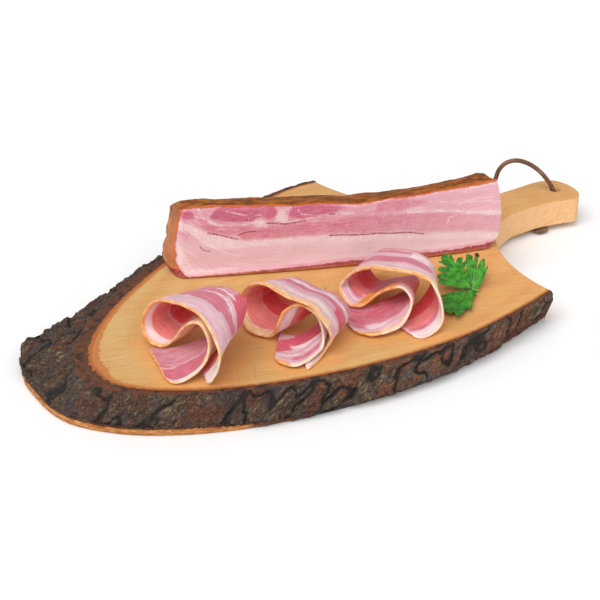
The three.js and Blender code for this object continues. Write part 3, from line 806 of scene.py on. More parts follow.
def make_bark():
    line, out = natural_edge(BARK_STEP)
    rim, bulge, height, foot = bark_sizes(out, BARK_STEP)
    facing = -facing_of(out)
    bare = eased(facing, *LIP_FROM) * (1 - eased(facing, *LIP_TO))
    offsets, heights, relief, foot_share = rows_between(bark_section(rim, bulge, height, foot, bare), bare)
    base = np.empty((*offsets.shape, 3))
    base[..., :2] = (line - MIDDLE)[:, None, :] + out[:, None, :] * offsets[..., None]
    base[..., 2] = heights
    high, crack, tone = [a.reshape(offsets.shape) for a in bark_relief(base.reshape(-1, 3))]
    normal = normals_of(base)
    normal *= np.sign((normal[..., :2] * out[:, None, :]).sum(axis=2).mean())
    from_end = np.minimum(np.arange(len(line)), np.arange(len(line))[::-1]) * BARK_STEP
    settle = 0.35 + 0.65 * eased(from_end, 0, 3)[:, None]
    shape = base + normal * ((high - np.median(high)) * relief * settle)[..., None]
    shape[..., 2] = np.clip(shape[..., 2], 0.0, THICK - 0.04)
    rim_share = np.clip(1.1 - (THICK - shape[..., 2]) / 1.6, 0, 1)
    rim_share = np.where(offsets < rim[:, None] - 0.5, 1.0, rim_share)
    shape[:, -1] = shape[:, 0]
    bark = draped_grid("board_bark", shape, crack=crack, tone=tone, rim=rim_share, foot=foot_share)
    close_ends(bark)
    return finish_piece(bark, "board", "wood", bark_finish())


def close_ends(piece):
    """Sews the last row of a wrapped grid to its first, fills its open ends and turns it outwards."""
    in_edit_mode(piece, merge_doubles)
    mesh = bmesh.new()
    mesh.from_mesh(piece.data)
    open_edges = [e for e in mesh.edges if e.is_boundary]
    bmesh.ops.holes_fill(mesh, edges=open_edges, sides=0)
    mesh.to_mesh(piece.data)
    mesh.free()
    face_outwards(piece)


# ---------------- bacon chunk
CHUNK = {
    "at": (-14.9, 53.6), "heading": -29.2, "length": 183.0, "bow": 4.2, "deep_foot": 24.0,
    "deep_top": 10.0, "end_out": 11.0, "end_deep": 18.0, "base": 20.3, "high": 42.0,
}
# Distance along the chunk and height over the board, in millimetres: the top's back edge, the line
# where the cut face meets the rind above it, and the line where it meets the rind under it.
BACK_TOP = [
    (0, 42.5), (32, 41), (66, 39), (95, 36.4), (124, 37), (150, 39), (162, 40.8), (172, 43),
    (177, 42.4), (183, 38),
]
RIND_LINE = [
    (-4, 41), (0, 42), (8, 42.5), (18, 42.8), (28, 41.8), (48, 41), (58, 40.3), (78, 39.8), (88, 38.4),
    (98, 37.3), (108, 38.2), (118, 39), (128, 38.6), (138, 39.4), (148, 40), (158, 40.6), (168, 41),
    (175, 41.7), (183, 43),
]
UNDER_RIND = [(0, 1.0), (28, 1.4), (58, 1.9), (88, 2.7), (120, 2.8), (150, 2.4), (172, 2.8), (183, 4)]
# Where the cut face begins, along the chunk, at each height.
FACE_LEFT = [
    (0, 3), (1.5, -0.6), (4, -3), (9, -4.8), (20, -4.6), (26, -4), (34, -2.6), (40, -1.2), (44, -0.6),
]
# How far the rounded left end stands out at each height.
LEFT_END = [(0, 8.5), (5, 10.4), (13, 9.4), (19, 8), (26, 7.3), (34, 5.4), (43, 3.8)]
# How far the rind under the cut face sticks out in front of it.
LIP = 2.2

# Layers of the cut face, drawn as outlines in the same two measures.
DEEP_LEAN = [
    [(14, 37), (17, 40.5), (20, 43), (31, 43), (40, 42.5), (50, 41), (52.5, 38), (50.5, 34.5), (47, 33.2),
     (43, 35), (38, 32.6), (30, 32.4), (24, 33), (18, 34.6)],
    [(58.5, 34), (59, 37), (61.5, 41), (70, 41), (79, 40.5), (88, 38.5), (92, 37), (84, 34.5),
     (76, 33.2), (68, 32.4), (61, 32.6)],
    [(-1.5, 37), (-1, 40.5), (3, 41.5), (5.5, 39.5), (5, 36.5), (1, 36)],
]
LEAN = [
    [(31, 24), (33, 26), (38, 27), (48, 28.3), (58, 29), (78, 29.5), (98, 29.8), (108, 29.8),
     (128, 29), (148, 27), (158, 25.5), (168, 23.8), (178, 22), (190, 20.5), (190, 9), (178, 10.5),
     (168, 12.5), (148, 14.5), (138, 15.5), (128, 17.3), (118, 18.2), (98, 19.5), (88, 20.3),
     (68, 20.8), (48, 20.8), (38, 21), (32, 21.6)],
    [(8, 37.5), (12, 35), (17, 32), (22, 30.6), (28, 30.3), (37, 30.4), (37, 27.6), (30, 26),
     (24, 24.8), (18, 26.4), (12, 29.5), (8.5, 33)],
    [(109, 31.5), (111, 38), (128, 38), (139, 35), (126, 31.5)],
]
FAT = [
    [(-4, 35), (3, 33), (8, 30), (14, 26.5), (22, 24), (30, 21), (38, 20), (58, 19.6), (83, 19.2),
     (98, 17.8), (118, 16.5), (138, 13.4), (158, 11.6), (178, 9), (190, 8), (190, 5), (168, 7.3),
     (148, 10), (128, 12.7), (118, 14), (98, 15.5), (78, 16.6), (58, 16.8), (38, 16.5), (25, 16),
     (16, 17), (10, 20), (6, 24), (2, 28), (-4, 30)],
    [(38, 29.2), (46, 29), (47, 31), (44, 33.5), (41, 34), (38, 32)],
    [(50.5, 31.5), (57, 31), (58, 35), (55, 37.5), (52.8, 37), (51.5, 34)],
    [(-5, 22), (-2.5, 20), (1, 12), (4, 6), (10, 4.4), (30, 3.8), (30, 1.8), (3, 1), (-3, 5)],
    [(126, 30.6), (148, 28.8), (160, 27), (178, 23.6), (190, 22.6), (190, 20.8), (178, 22), (158, 25.5),
     (148, 27.2), (128, 29.4)],
    [(13, 34.6), (19, 32.3), (28, 31.3), (38, 31.6), (38, 30.8), (28, 30.4), (19, 31.2), (13, 33.6)],
]
FINE_FAT = [
    [(152, 19.8), (152.6, 22.2), (155, 23.6), (157.5, 23.9)], [(5, 36), (8, 33.5), (14, 30)],
    [(14, 28), (20, 29), (28, 28), (36, 29)], [(64, 38), (66, 35), (72, 34)],
    [(38, 20.3), (60, 20.2), (80, 19.9)], [(24, 40), (34, 36.8), (46, 36)],
    [(6, 38), (11, 36), (15, 33.6)], [(88, 34), (98, 33), (110, 34.4)],
    [(140, 35), (152, 33), (168, 31), (178, 30.8)], [(60, 31.6), (70, 31.8), (84, 32.8), (96, 32.2)],
]
RED_SEAMS = [
    [(13, 27), (20, 25), (30, 21.8)], [(46, 31), (52, 30.2), (57, 29.6), (68, 30.5)],
    [(82, 19.9), (90, 19.4), (98, 18.6), (108, 18.2)], [(106, 18.9), (118, 17.4), (128, 16.9), (138, 14.4)],
    [(8.5, 18.5), (10.5, 16.4), (14, 15.5)], [(82, 33.6), (85, 33.4)], [(30, 24.6), (34, 25.8), (40, 26.2)],
]


def read(table, at):
    table = np.array(table, float)
    return np.interp(at, table[:, 0], table[:, 1])


def chunk_section(along):
    """The knots of the section there: distance back from the cut face's foot line, and height."""
    ahead = max(along, 0.0)
    left = math.sqrt(max(1 - (along / CHUNK["end_out"]) ** 2, 0.0)) if along < 0 else 1.0
    deep = CHUNK["end_deep"]
    front = deep * (1 - left) - CHUNK["bow"] * math.sin(math.pi * ahead / CHUNK["length"])
    back, foot = [deep + (d - deep) * left for d in (CHUNK["deep_top"], CHUNK["deep_foot"])]
    drop = 5 * (1 - left)
    line = read(RIND_LINE, along) - drop
    top = read(BACK_TOP, ahead) - drop
    return [
        (front + 1.0, 0.0), (front - LIP * left, 0.3), (front - LIP * left, 1.0), (front - 0.6 * left, 2.4),
        (front, 4.5), (front, line * 0.35), (front, line * 0.7),
        (front, line - 1.2), (front + 0.15, line - 0.3), (front + 0.9, line + 0.35),
        (front + 0.35 * (back - front), (line + top) / 2 + 1.6 * left), (back - 1, top + 1.3 * left),
        (back + 3, top - 2.5), (back + 7 * left, top - 10), (foot - 2.5, top * 0.52), (foot, top * 0.28),
        (foot - 0.5, 2.2), (foot - 2.5, 0.0),
    ]


# Where each side of the section begins and ends among its knots, and how many rows it gets.
FACE_ROWS = 78
SIDES = ((0, 10, FACE_ROWS), (9, 13, 22), (12, 18, 46), (17, 19, 14))


def section_points(along):
    """The section as a ring: up the cut face, over the top, down the back, and along under it."""
    knots = np.array(chunk_section(along))
    closed = np.vstack([knots, knots[0]])
    ring = []
    for start, end, rows in SIDES:
        line = through(closed[start:end], 12 * (end - start))
        run = run_along(line)
        ring.append(sampled(np.linspace(0, run[-1], rows + 1)[:-1], run, line))
    return np.vstack(ring)


def inside(points, outline):
    """Whether each point lies inside a closed outline."""
    x, y = points[:, 0], points[:, 1]
    found = np.zeros(len(points), bool)
    for (ax, ay), (bx, by) in zip(outline, [*outline[1:], outline[0]]):
        crosses = (ay > y) != (by > y)
        reach = ax + (y - ay) * (bx - ax) / (by - ay if by != ay else 1e-9)
        found ^= crosses & (x < reach)
    return found


def gap_to_line(points, line):
    """The distance from each point to a line of straight stretches."""
    near = np.full(len(points), 1e9)
    for a, b in zip(line, line[1:]):
        a, b = np.array(a, float), np.array(b, float)
        way = b - a
        share = np.clip(((points - a) @ way) / (way @ way), 0, 1)
        near = np.minimum(near, np.linalg.norm(points - a - share[:, None] * way, axis=1))
    return near


def depth_in(points, outlines):
    """How far each point lies inside the nearest of these outlines; negative outside."""
    best = np.full(len(points), -9.0)
    for outline in outlines:
        smooth = through([*outline, outline[0]], 5 * len(outline))
        gap = gap_to_line(points, smooth)
        best = np.maximum(best, np.where(inside(points, [tuple(p) for p in smooth[:-1]]), gap, -gap))
    return np.clip(best, -6, 6)


def cured_meat():
    """The chunk's one finish: layered meat on its cut faces, smoked rind on the rest."""
    finish = Finish("cured_belly", roughness=0.42)
    heading = (0, 0, math.radians(-CHUNK["heading"]))
    where = finish.place(heading)
    wide = finish.cloud(where, 6, detail=4, rough=0.6)
    fine = finish.cloud(where, 1.3, detail=4, rough=0.65)
    fibre = finish.cloud(finish.on_surface("grain", (6.0, 0.8, 3.0)), detail=4, rough=0.6)
    layer = finish.cloud(finish.on_surface("grain", (22.0, 1.9, 6.0)), detail=4, rough=0.6, swirl=0.4)
    upright = finish.cloud(finish.on_surface("grain", (1.2, 4.5, 3.0)), detail=3, rough=0.6)
    fleck = finish.cloud(where, 1.1, detail=3, rough=0.7)
    ragged = (wide - 0.5) * 3.4 + (fine - 0.5) * 2.2
    flowing = (layer - 0.5) * 3.0 + (wide - 0.5) * 1.2
    height, along, skin = [finish.attribute(name) for name in ("height", "along", "skin")]
    low = finish.grade(along, 10, 110, (230, 190, 200), (236, 208, 216))
    high = finish.grade(along, 70, 130, (224, 160, 176), (230, 176, 188))
    meat = finish.coats(
        finish.grade(height + flowing, 20, 27, low, high), (layer, 0.5, 0.64, 0.6, (242, 218, 222)),
        (fibre, 0.52, 0.74, 0.4, (218, 146, 166)), (upright, 0.5, 0.74, 0.3, (242, 218, 226)),
    )
    lean = finish.coats(
        finish.grade(fibre, 0.4, 0.68, (212, 122, 142), (226, 156, 170)),
        (upright, 0.46, 0.72, 0.45, (234, 176, 188)), (wide, 0.5, 0.68, 0.5, (204, 108, 130)),
    )
    ruddy_end = finish.ease(along + ragged * 2, 42, 50) * 0.6
    deep = finish.coats(
        finish.grade(fibre, 0.38, 0.7, (192, 88, 122), (212, 126, 152)),
        (upright, 0.5, 0.74, 0.4, (224, 150, 176)), (along, 58, 54, ruddy_end, (208, 92, 108)),
    )
    white = finish.grade(fine, 0.35, 0.65, (236, 204, 210), (246, 230, 230))
    broken = finish.ease(finish.cloud(where, 4, detail=2), 0.42, 0.56)
    blush = finish.ease(height, 9, 4) * 0.55
    lean_depth = finish.attribute("lean") + flowing * 0.6 + ragged * 0.35
    meat = finish.coats(
        meat, (lean_depth, -1.6, 1.8, finish.ease(along, 190, 60) * 0.3 + 0.58, lean),
        (finish.attribute("deep") + ragged * 0.8, -1.0, 1.2, 0.88, deep),
        (finish.attribute("fat") + ragged * 0.8 + flowing * 0.7, -0.9, 1.1, layer * 0.7 + 0.45, white),
        (finish.attribute("thread") + ragged * 0.22, 0.7, 0.05, broken * 0.6, (246, 228, 228)),
        (fleck, 0.6, 0.76, 0.22, (246, 226, 230)),
        (finish.attribute("seam") + (fine - 0.5) * 1.3, 0.75, 0.1, 0.85, (150, 40, 52)),
        (skin + ragged * 0.5, -2.6, -0.1, blush, (206, 104, 118)),
    )
    streaky = finish.cloud(finish.place(heading, (9.0, 1.6, 2.2)), detail=5, rough=0.65)
    blotch = finish.cloud(where, 8, detail=4, rough=0.6)
    golden = finish.coats(
        finish.grade(streaky, 0.36, 0.64, (96, 46, 15), (172, 98, 32)),
        (blotch, 0.5, 0.62, 0.55, (88, 46, 24)), (fleck, 0.56, 0.74, 0.4, (182, 116, 46)),
    )
    ruddy = finish.coats(
        finish.grade(blotch, 0.38, 0.66, (186, 112, 66), (212, 142, 98)),
        (fine, 0.58, 0.72, 0.3, (160, 84, 52)), (height + ragged, 27, 38, 0.75, golden),
    )
    under = finish.coats(
        finish.grade(height + (streaky - 0.5) * 2.4, 1.9, 0.5, (150, 56, 58), (178, 98, 48)),
        (fleck, 0.54, 0.7, 0.6, (210, 146, 140)), (fleck, 0.44, 0.3, 0.6, (104, 42, 44)),
    )
    rind = finish.coats(
        finish.grade(along + (blotch - 0.5) * 6, 1.0, -3.0, golden, ruddy),
        (skin + (fine - 0.5) * 1.4, 2.2, 0.5, 0.8, (208, 100, 40)),
        (height + (streaky - 0.5) * 1.5, 5, 3.4, 1, under),
    )
    edge = finish.ease(skin + (fine - 0.5) * 1.5 + (wide - 0.5) * 1.6, -0.3, 0.35)
    finish.set(Base_Color=finish.mix(edge, meat, rind))
    finish.set(Roughness=edge * 0.2 + 0.38 + (fine - 0.5) * 0.14)
    finish.set(Subsurface_Weight=0.1, Subsurface_Scale=0.002, Subsurface_Radius=(1.0, 0.6, 0.5))
    finish.set(Specular_IOR_Level=0.3)
    finish.bump(fleck * 0.3 + fibre * 0.25 + (streaky + fine) * edge * 0.5, 0.5)
    return finish


# Rings that close the left end, and rings over the right end: their size, and how far they stand out.
CLOSING = 8
CAPS = np.array([(0.985, 0.35), *[(size, 0.6) for size in np.linspace(0.95, 0.0, 26)]])


def chunk_rings():
    """Each ring's points: how far along the chunk, how far back from the face's foot line, how high."""
    left = -CHUNK["end_out"] * np.cos(np.linspace(0.12, math.pi / 2, 22))[:-1]
    alongs = np.r_[left, np.linspace(0, CHUNK["length"], 240)]
    rings = np.array([section_points(a) for a in alongs])
    first = rings[0].mean(axis=0)
    closing = np.linspace(0.0, 0.85, CLOSING)[:, None, None]
    rings = np.concatenate([first + (rings[0] - first) * closing, rings])
    alongs = np.r_[np.full(CLOSING, alongs[0]), alongs]
    deep, high = rings[..., 0], rings[..., 1]
    run = np.repeat(alongs[:, None], rings.shape[1], axis=1)
    run = np.where(run < 0, run * read(LEFT_END, high) / CHUNK["end_out"], run)
    # The right end is cut off a little slanting, and its foot is rounded.
    end = CHUNK["length"]
    up = np.clip(high / CHUNK["high"], 0, 1)
    run = run - 7.0 * np.clip(1 - high / 9, 0, 1) ** 2 * eased(run, end - 25, end)
    run = run + 1.6 * np.sin(up * math.pi) * eased(run, end - 18, end)
    run = run - 2.0 * up**3 * eased(run, end - 18, end)
    return run, deep, high


def capped(values, out=0.0):
    """The rings with those that close the right end, each drawn in towards the last ring's middle."""
    middle = values[-1].mean()
    return np.vstack([values, middle + CAPS[:, 1:] * out + (values[-1] - middle) * CAPS[:, :1]])


def skin_over(run, high):
    """How far each point lies past the line between meat and rind; negative on the meat."""
    on_face = np.arange(run.shape[1])[None, :] < FACE_ROWS
    past = np.maximum(high - read(RIND_LINE, run), read(FACE_LEFT, high) - run)
    skin = np.where(on_face, np.maximum(past, read(UNDER_RIND, run) - high), 4.0)
    skin[:, FACE_ROWS : FACE_ROWS + 3] = (0.6, 1.6, 2.8)
    into_cap = 1 - CAPS[:, :1]
    skin[-len(CAPS):] = np.where(on_face, skin[-len(CAPS):], 1.4 - 22 * into_cap)
    return np.clip(skin, -5, 5)


def lumpy(shape, skin, high):
    """The rings on the board, pushed out or in: rough on the rind, calm on the meat."""
    around = np.roll(shape, -1, axis=1) - np.roll(shape, 1, axis=1)
    normal = np.cross(np.gradient(shape, axis=0), around)
    size = np.linalg.norm(normal, axis=2, keepdims=True)
    normal = np.where(size > 1e-6, normal / np.maximum(size, 1e-9), 0)
    outward = shape - shape.mean(axis=1, keepdims=True)
    normal *= np.where((normal * outward).sum(axis=2, keepdims=True) < 0, -1, 1)
    spots = shape.reshape(-1, 3)
    lumps = rough_noise(spots, 20, 2) * 0.8 + rough_noise(spots + 90, 5, 3) * 0.25
    calm = rough_noise(spots + 30, 16, 2) * 0.35
    height = np.where(skin.ravel() > 0, lumps, calm).reshape(skin.shape)
    height *= np.clip(high / 3, 0, 1)
    height[:CLOSING] = height[CLOSING]
    shape = shape + normal * height[..., None]
    shape[..., 2] = np.maximum(shape[..., 2], CHUNK["base"] - 0.2)
    return shape


def make_chunk():
    run, deep, high = chunk_rings()
    run, deep, high = capped(run, out=1.0), capped(deep), capped(high)
    skin = skin_over(run, high)
    turn = math.radians(CHUNK["heading"])
    x, y = placed(*CHUNK["at"])
    shape = lumpy(np.stack([
        x + run * math.cos(turn) - deep * math.sin(turn), y + run * math.sin(turn) + deep * math.cos(turn),
        CHUNK["base"] + high,
    ], axis=-1), skin, high)
    rings = (shape, skin, run, high, deep)
    shape, skin, run, high, deep = [np.concatenate([ring, ring[:, :1]], axis=1) for ring in rings]
    flat = np.c_[run.ravel(), high.ravel()]
    layers = {"lean": depth_in(flat, LEAN), "deep": depth_in(flat, DEEP_LEAN), "fat": depth_in(flat, FAT)}
    for key, lines in (("thread", FINE_FAT), ("seam", RED_SEAMS)):
        gap = np.min([gap_to_line(flat, through(line, 12)) for line in lines], axis=0)
        layers[key] = np.clip(gap, 0, 5)
    # The layers bend up towards the left end, and the grain follows them.
    bend = 0.012 * np.clip(40 - run, 0, 60) ** 2
    chunk = draped_grid(
        "bacon_belly_chunk", shape, skin=skin, along=run, height=high,
        **{key: values.reshape(run.shape) for key, values in layers.items()},
        grain=np.stack([run, high - bend, deep], axis=-1),
    )
    face_outwards(chunk)
    return finish_piece(chunk, "bacon_chunk", "bacon", cured_meat())


# ---------------- rashers
SLICE_THICK = 1.6
SLICE_WIDE = 32
# How far apart a slice's points lie along it, and how many points its two edges are drawn with.
SLICE_STEP = 0.95
EDGE_POINTS = 900
# How far in a slice's edges are rounded, how far in its ends are ragged, how big their corners are, how
# long the waves of its far and near edges are, and how high it stays over the board.
ROUND_EDGE = 0.95
RAGGED = 14
CORNER = 5
FAR_WAVES, NEAR_WAVES = 13, 14
SLICE_GAP = 0.12
# Each layer of a slice, from the lowest: how softly its stretches fade out.
LAYER_FADES = {"lean": 1.5, "deep": 1.5, "salmon": 2.6, "red": 3.2, "white": 1.5, "tan": 1.5, "crust": 1.5}
# Layers of meat: their dark and light threads, their streaks (from, to, strength and colour), how much their
# sides waver, and from which amount they cover what is under them. Salmon and red, and deep where it lies
# inside a loop or at a flap's far side, are partly painted shade: the meat's own red together with the shade,
# red bounce and glow through the slice that light gives inside the loops and under the folds.
MEAT_LAYERS = {
    "lean": ((196, 98, 120), (218, 134, 148), (0.54, 0.72, 0.55, (234, 184, 192)), 1.0, 0.85),
    "deep": ((202, 76, 98), (220, 116, 132), (0.58, 0.72, 0.5, (234, 170, 180)), 1.0, 0.85),
    "salmon": ((222, 112, 110), (236, 154, 146), (0.56, 0.74, 0.35, (242, 182, 168)), 0.6, 0.85),
    "red": ((216, 66, 70), (230, 106, 104), (0.58, 0.76, 0.3, (230, 140, 140)), 0.5, 0.9),
}
# Each slice stands on edge. A station on its front edge is x, y and z over the board, the heading of
# its width in degrees, its width, and how far its far edge falls.
RASHERS = {
    "rasher_left": {
        "place": (-77, -27),
        "stations": [
            (-1, -20, 1.5, 66, 16, 0), (1, -23.5, 9, 58, 20, 2), (0.5, -27.5, 19.5, 44, 29, 4),
            (0.5, -26.5, 26.5, 30, 32, 4.5), (2, -14, 35, 13, 34, 3.5), (3, -4, 36.5, 13, 32, 2),
            (2.5, 6.5, 36, 14, 32, 4), (2, 30, 27.5, 8, 32, 7), (0.5, 38.5, 13.5, 6, 32, 0),
            (-0.5, 36, 6.5, 8, 32, -4), (-1, 27.5, 4.5, 6, 32, -6), (1.5, 22.5, 4, 2, 32, -7),
            (5, 19.5, 7, -2, 32, -6), (3, 3.5, 24.5, 3, 32, -2), (2.5, -9.5, 31, 10, 32, 1.5),
            (3, -15.5, 24.5, 22, 32, 1), (1, -14.5, 12, 38, 32, 0), (-2, -12, 6, 47, 33, 0),
            (-11.5, -8, 1.6, 62, 35, 0), (-14.6, -1.2, 1.4, 68, 34.4, 0),
        ],
        # Layers of the slice: from and to along it, from and to across it, how far the layer drifts
        # across by its end, and how strong it is.
        "lean": [
            (22, 46, 17.5, 23.5, -6, 0.9), (40, 84, 11.4, 20.8, 1.5, 1), (46, 84, 22, 34, 0, 0.75),
            (180, 216, 2.5, 16, 0, 0.95), (180, 216, 16, 34, 0, 0.6),
        ],
        "deep": [(22, 46, 24, 34, 0, 0.95), (182, 216, 8, 13, -4, 0.45)],
        # The salmon and red layers lie on the loop's inside and under the fold: meat colour with painted
        # shade and glow.
        "salmon": [(84, 124, 7, 19.5, 0, 1), (120, 152, 0, 34, 0, 0.8), (0, 18, 9, 34, 0, 1)],
        "red": [(92, 121, 20, 34, 0, 1), (122, 130, 6, 14, 0, 0.5)],
        "white": [
            (30, 62, 20, 21, 2, 0.8), (38, 62, 22.2, 23, 1, 0.6), (42, 58, 25.5, 27.5, 1, 0.7),
            (46, 56, 28.5, 30, 1, 0.6), (14, 27, 5, 34, 0, 0.6), (86, 123, 2.2, 6.8, 0, 0.9),
            (94, 120, 19, 20.2, 0, 0.5), (114, 124, 18, 30, 0, 0.5), (28, 64, 11, 12, 0, 0.4),
            (-4, 18, -2, 9, 0, 1), (184, 216, 18, 19.6, -8, 0.6), (180, 206, 0, 2.4, 0, 0.8),
            (183, 204, 5.5, 6.6, 0, 0.4), (164, 206, -2, 2.4, 0, 0.8),
        ],
        "tan": [(84, 124, -1, 2.6, 0, 0.8), (124, 184, -1, 11, 0, 0.8)],
        "crust": [(38, 84, -1, 1, 0, 0.55), (84, 124, -1, 1.6, 0, 0.9), (213.4, 222, -1, 30, 0, 1)],
    },
    "rasher_middle": {
        "place": (-22, -46),
        "stations": [
            (-8, -21.9, 0.95, 62, 9, 0), (3.4, -18.5, 1.4, 54, 14, 0), (9.8, -16.6, 4.5, 46, 20, 1),
            (9.5, -20, 13, 31, 30, 7), (4.5, -19.5, 24.5, 21, 32, 9), (1, -12, 32, 18, 32, 9.5),
            (-2.5, 0.5, 32.5, 17, 32, 9), (-4, 16.5, 33.5, 14, 32, 9.8), (-4, 25.5, 30.5, 11, 32, 10.2),
            (-3, 34, 24, 8, 32, 7.6), (-3.5, 38, 17, 7, 32, 4), (-5, 37, 10.5, 7, 32, -1),
            (-7, 32, 5.5, 6, 32, -6), (-7.5, 24.5, 2.8, 2, 32, -8), (-3, 14.5, 3, -6, 32, -7),
            (-3, 6.5, 16, -2, 32, -1), (-2, 4.5, 22, 4, 32, 3), (2, -3, 28, 13, 32, 7.5),
            (7, -9.5, 24, 20, 32, 8), (9.5, -11, 19.5, 25, 32, 8), (9, -15, 10.5, 36, 32, 2.5),
            (6, -17, 6.5, 44, 32, 1), (-6.9, -18.1, 2.9, 51, 31, 0), (-12.5, -15.1, 2.1, 48, 30, 0),
            (-15.6, -3.9, 1.4, 43, 29, 0),
        ],
        "lean": [
            (36, 92, 14.5, 16.3, 1.5, 0.7), (34, 92, 18.5, 23.5, 0, 0.95), (34, 92, 27, 34, 0, 0.6),
            (188, 212, 4, 8, 0, 0.8), (200, 224, 12.5, 14, -4, 0.6),
        ],
        "deep": [
            (30, 48, 12, 18, 3, 0.9), (104, 142, 27.5, 34, 0, 0.9), (188, 210, 18.5, 34, 0, 1),
            (206, 224, 18.5, 30, -12, 1),
        ],
        # The salmon and red layers lie on the loop's inside and the fold's underside: meat colour with
        # painted shade and glow.
        "salmon": [(98, 142, 5, 34, 0, 1), (144, 170, 9, 16, 2, 1)],
        "red": [(104, 142, 17.2, 27.5, 0, 1), (142, 170, 15, 34, 0, 1)],
        "white": [
            (34, 90, 7, 12.5, 0, 0.6), (34, 90, 24.2, 26.5, 0, 0.75), (60, 92, 16.6, 17.8, 1, 0.5),
            (102, 140, 16.5, 17.4, 0, 0.45), (144, 166, 2.4, 9, 2, 1), (176, 192, 1.4, 7, 0, 1),
            (168, 215, -2, 1.6, 0, 1), (186, 212, 14.4, 18, 1, 0.9), (186, 206, 9, 12.6, 0, 0.6),
            (206, 222, 9, 13, -6, 0.6), (-4, 34, -2, 12, 0, 0.9), (188, 222, 0, 2.6, 0, 0.6),
        ],
        "tan": [(40, 90, -1, 5, 0, 0.75), (40, 88, 4, 8, 0, 0.4), (90, 142, -1, 5, 0, 0.9)],
        "crust": [
            (90, 130, -1, 1.4, 0, 0.9), (142, 168, -1, 1.4, 0, 1), (2, 34, -1, 1, 0, 0.8),
            (40, 90, -1, 1.2, 0, 0.5), (212, 228, -1, 2.4, 0, 0.9),
        ],
    },
    "rasher_right": {
        "place": (36, -60),
        "stations": [
            (-1, -23.1, 1.2, 88, 22, 0), (8, -25, 1.8, 79, 26, 0), (13.5, -25.2, 5, 66, 30, 0),
            (14, -25.6, 11, 58, 32, 1), (12.5, -24.5, 21.5, 52, 32, 3), (12, -17.5, 29, 44, 32, 6),
            (8, -5, 30.5, 38, 32, 4), (3.5, 8.5, 28.5, 34, 32, 4), (1, 14.5, 28, 31, 32, 4.5),
            (0, 21.5, 25, 26, 32, 3.5), (-2.5, 34.5, 14, 18, 32, 0), (-4.5, 36, 8.5, 17, 32, -1),
            (-8.5, 22.5, 5, 16, 32, -1), (-6, 17.5, 5.5, 16, 32, -2), (-2.5, 15, 8.5, 18, 32, 0.5),
            (0.5, 10.5, 14, 21, 32, 5), (6, 0, 20.5, 28, 32, 9.5), (7.5, -8, 16.5, 38, 32, 8.5),
            (2, -10.5, 7, 52, 32, 2), (-4.5, -11.5, 4.4, 59, 32, 0.5), (-17.5, -7, 2.8, 62, 32, 0.5),
            (-20.7, -0.5, 1.9, 63, 32, 0), (-22, 7, 1.5, 64, 32, 0),
        ],
        "lean": [
            (0, 38, 7, 10.5, 0, 0.8), (96, 120, 8.5, 12, 0, 0.9), (44, 98, 10.5, 19.5, 0, 0.85),
            (54, 86, 24.5, 28, 0, 0.9), (50, 98, 29, 34, 0, 0.7), (118, 146, 13, 34, 0, 0.95),
            (154, 200, 10.5, 34, 0, 0.75),
        ],
        "deep": [(154, 202, 17, 26, 0, 0.5), (186, 204, 4, 16, 0, 0.6)],
        # The salmon and red layers lie on the loops' insides: meat colour with painted shade and glow.
        "salmon": [(0, 38, 9.5, 18, 0, 0.9), (96, 120, 11, 18, 0, 1)],
        "red": [
            (6, 37, 17.5, 34, 0, 1), (96, 120, 17.5, 34, 0, 1), (142, 156, 7, 34, 0, 0.9),
            (150, 182, 27, 34, 0, 0.6),
        ],
        "white": [
            (-4, 44, -2, 6.5, 0, 1), (44, 96, -2, 0.9, 0, 0.6), (96, 120, -2, 2.6, 0, 0.9),
            (46, 60, 20.5, 28, 0, 0.7), (58, 98, 21, 23.5, 0, 0.35), (54, 88, 28.2, 29.2, 0.5, 0.5),
            (42, 98, 3, 9.5, 0, 0.35), (143, 186, -2, 3, 0, 0.9), (96, 120, 5.5, 8, 0, 0.5),
            (96, 118, 17, 17.9, 0, 0.4), (148, 160, 0, 4, 0, 0.8), (139, 149, 5, 7, 0, 0.5),
            (156, 190, 4, 10.5, 0, 0.45), (182, 200, 22, 23.2, -3, 0.5),
        ],
        "tan": [(42, 98, -1, 3.2, 0, 0.8), (160, 186, 0, 4.5, 0, 0.6)],
        "crust": [
            (44, 96, -1, 2, 0, 0.5), (100, 122, -1, 1.6, 0, 0.8), (121, 143, -1, 15, 0, 1),
            (181, 191, -1, 3, 0, 0.9), (190, 210, -1, 0.9, 0, 1),
        ],
    },
}


def banded(along, across, bands, fade):
    """How much of a layer lies at each point, from its stretches, whose sides fade out softly."""
    amount = np.zeros_like(along)
    for start, end, low, high, drift, strong in bands:
        ends = 2 * fade
        here = eased(along, start - ends, start + ends) * (1 - eased(along, end - ends, end + ends))
        level = across - drift * (along - start) / (end - start)
        soft = min(fade, 0.35 * (high - low))
        inside_it = eased(level, low - soft, low + soft) * (1 - eased(level, high - soft, high + soft))
        amount = np.maximum(amount, strong * here * inside_it)
    return amount


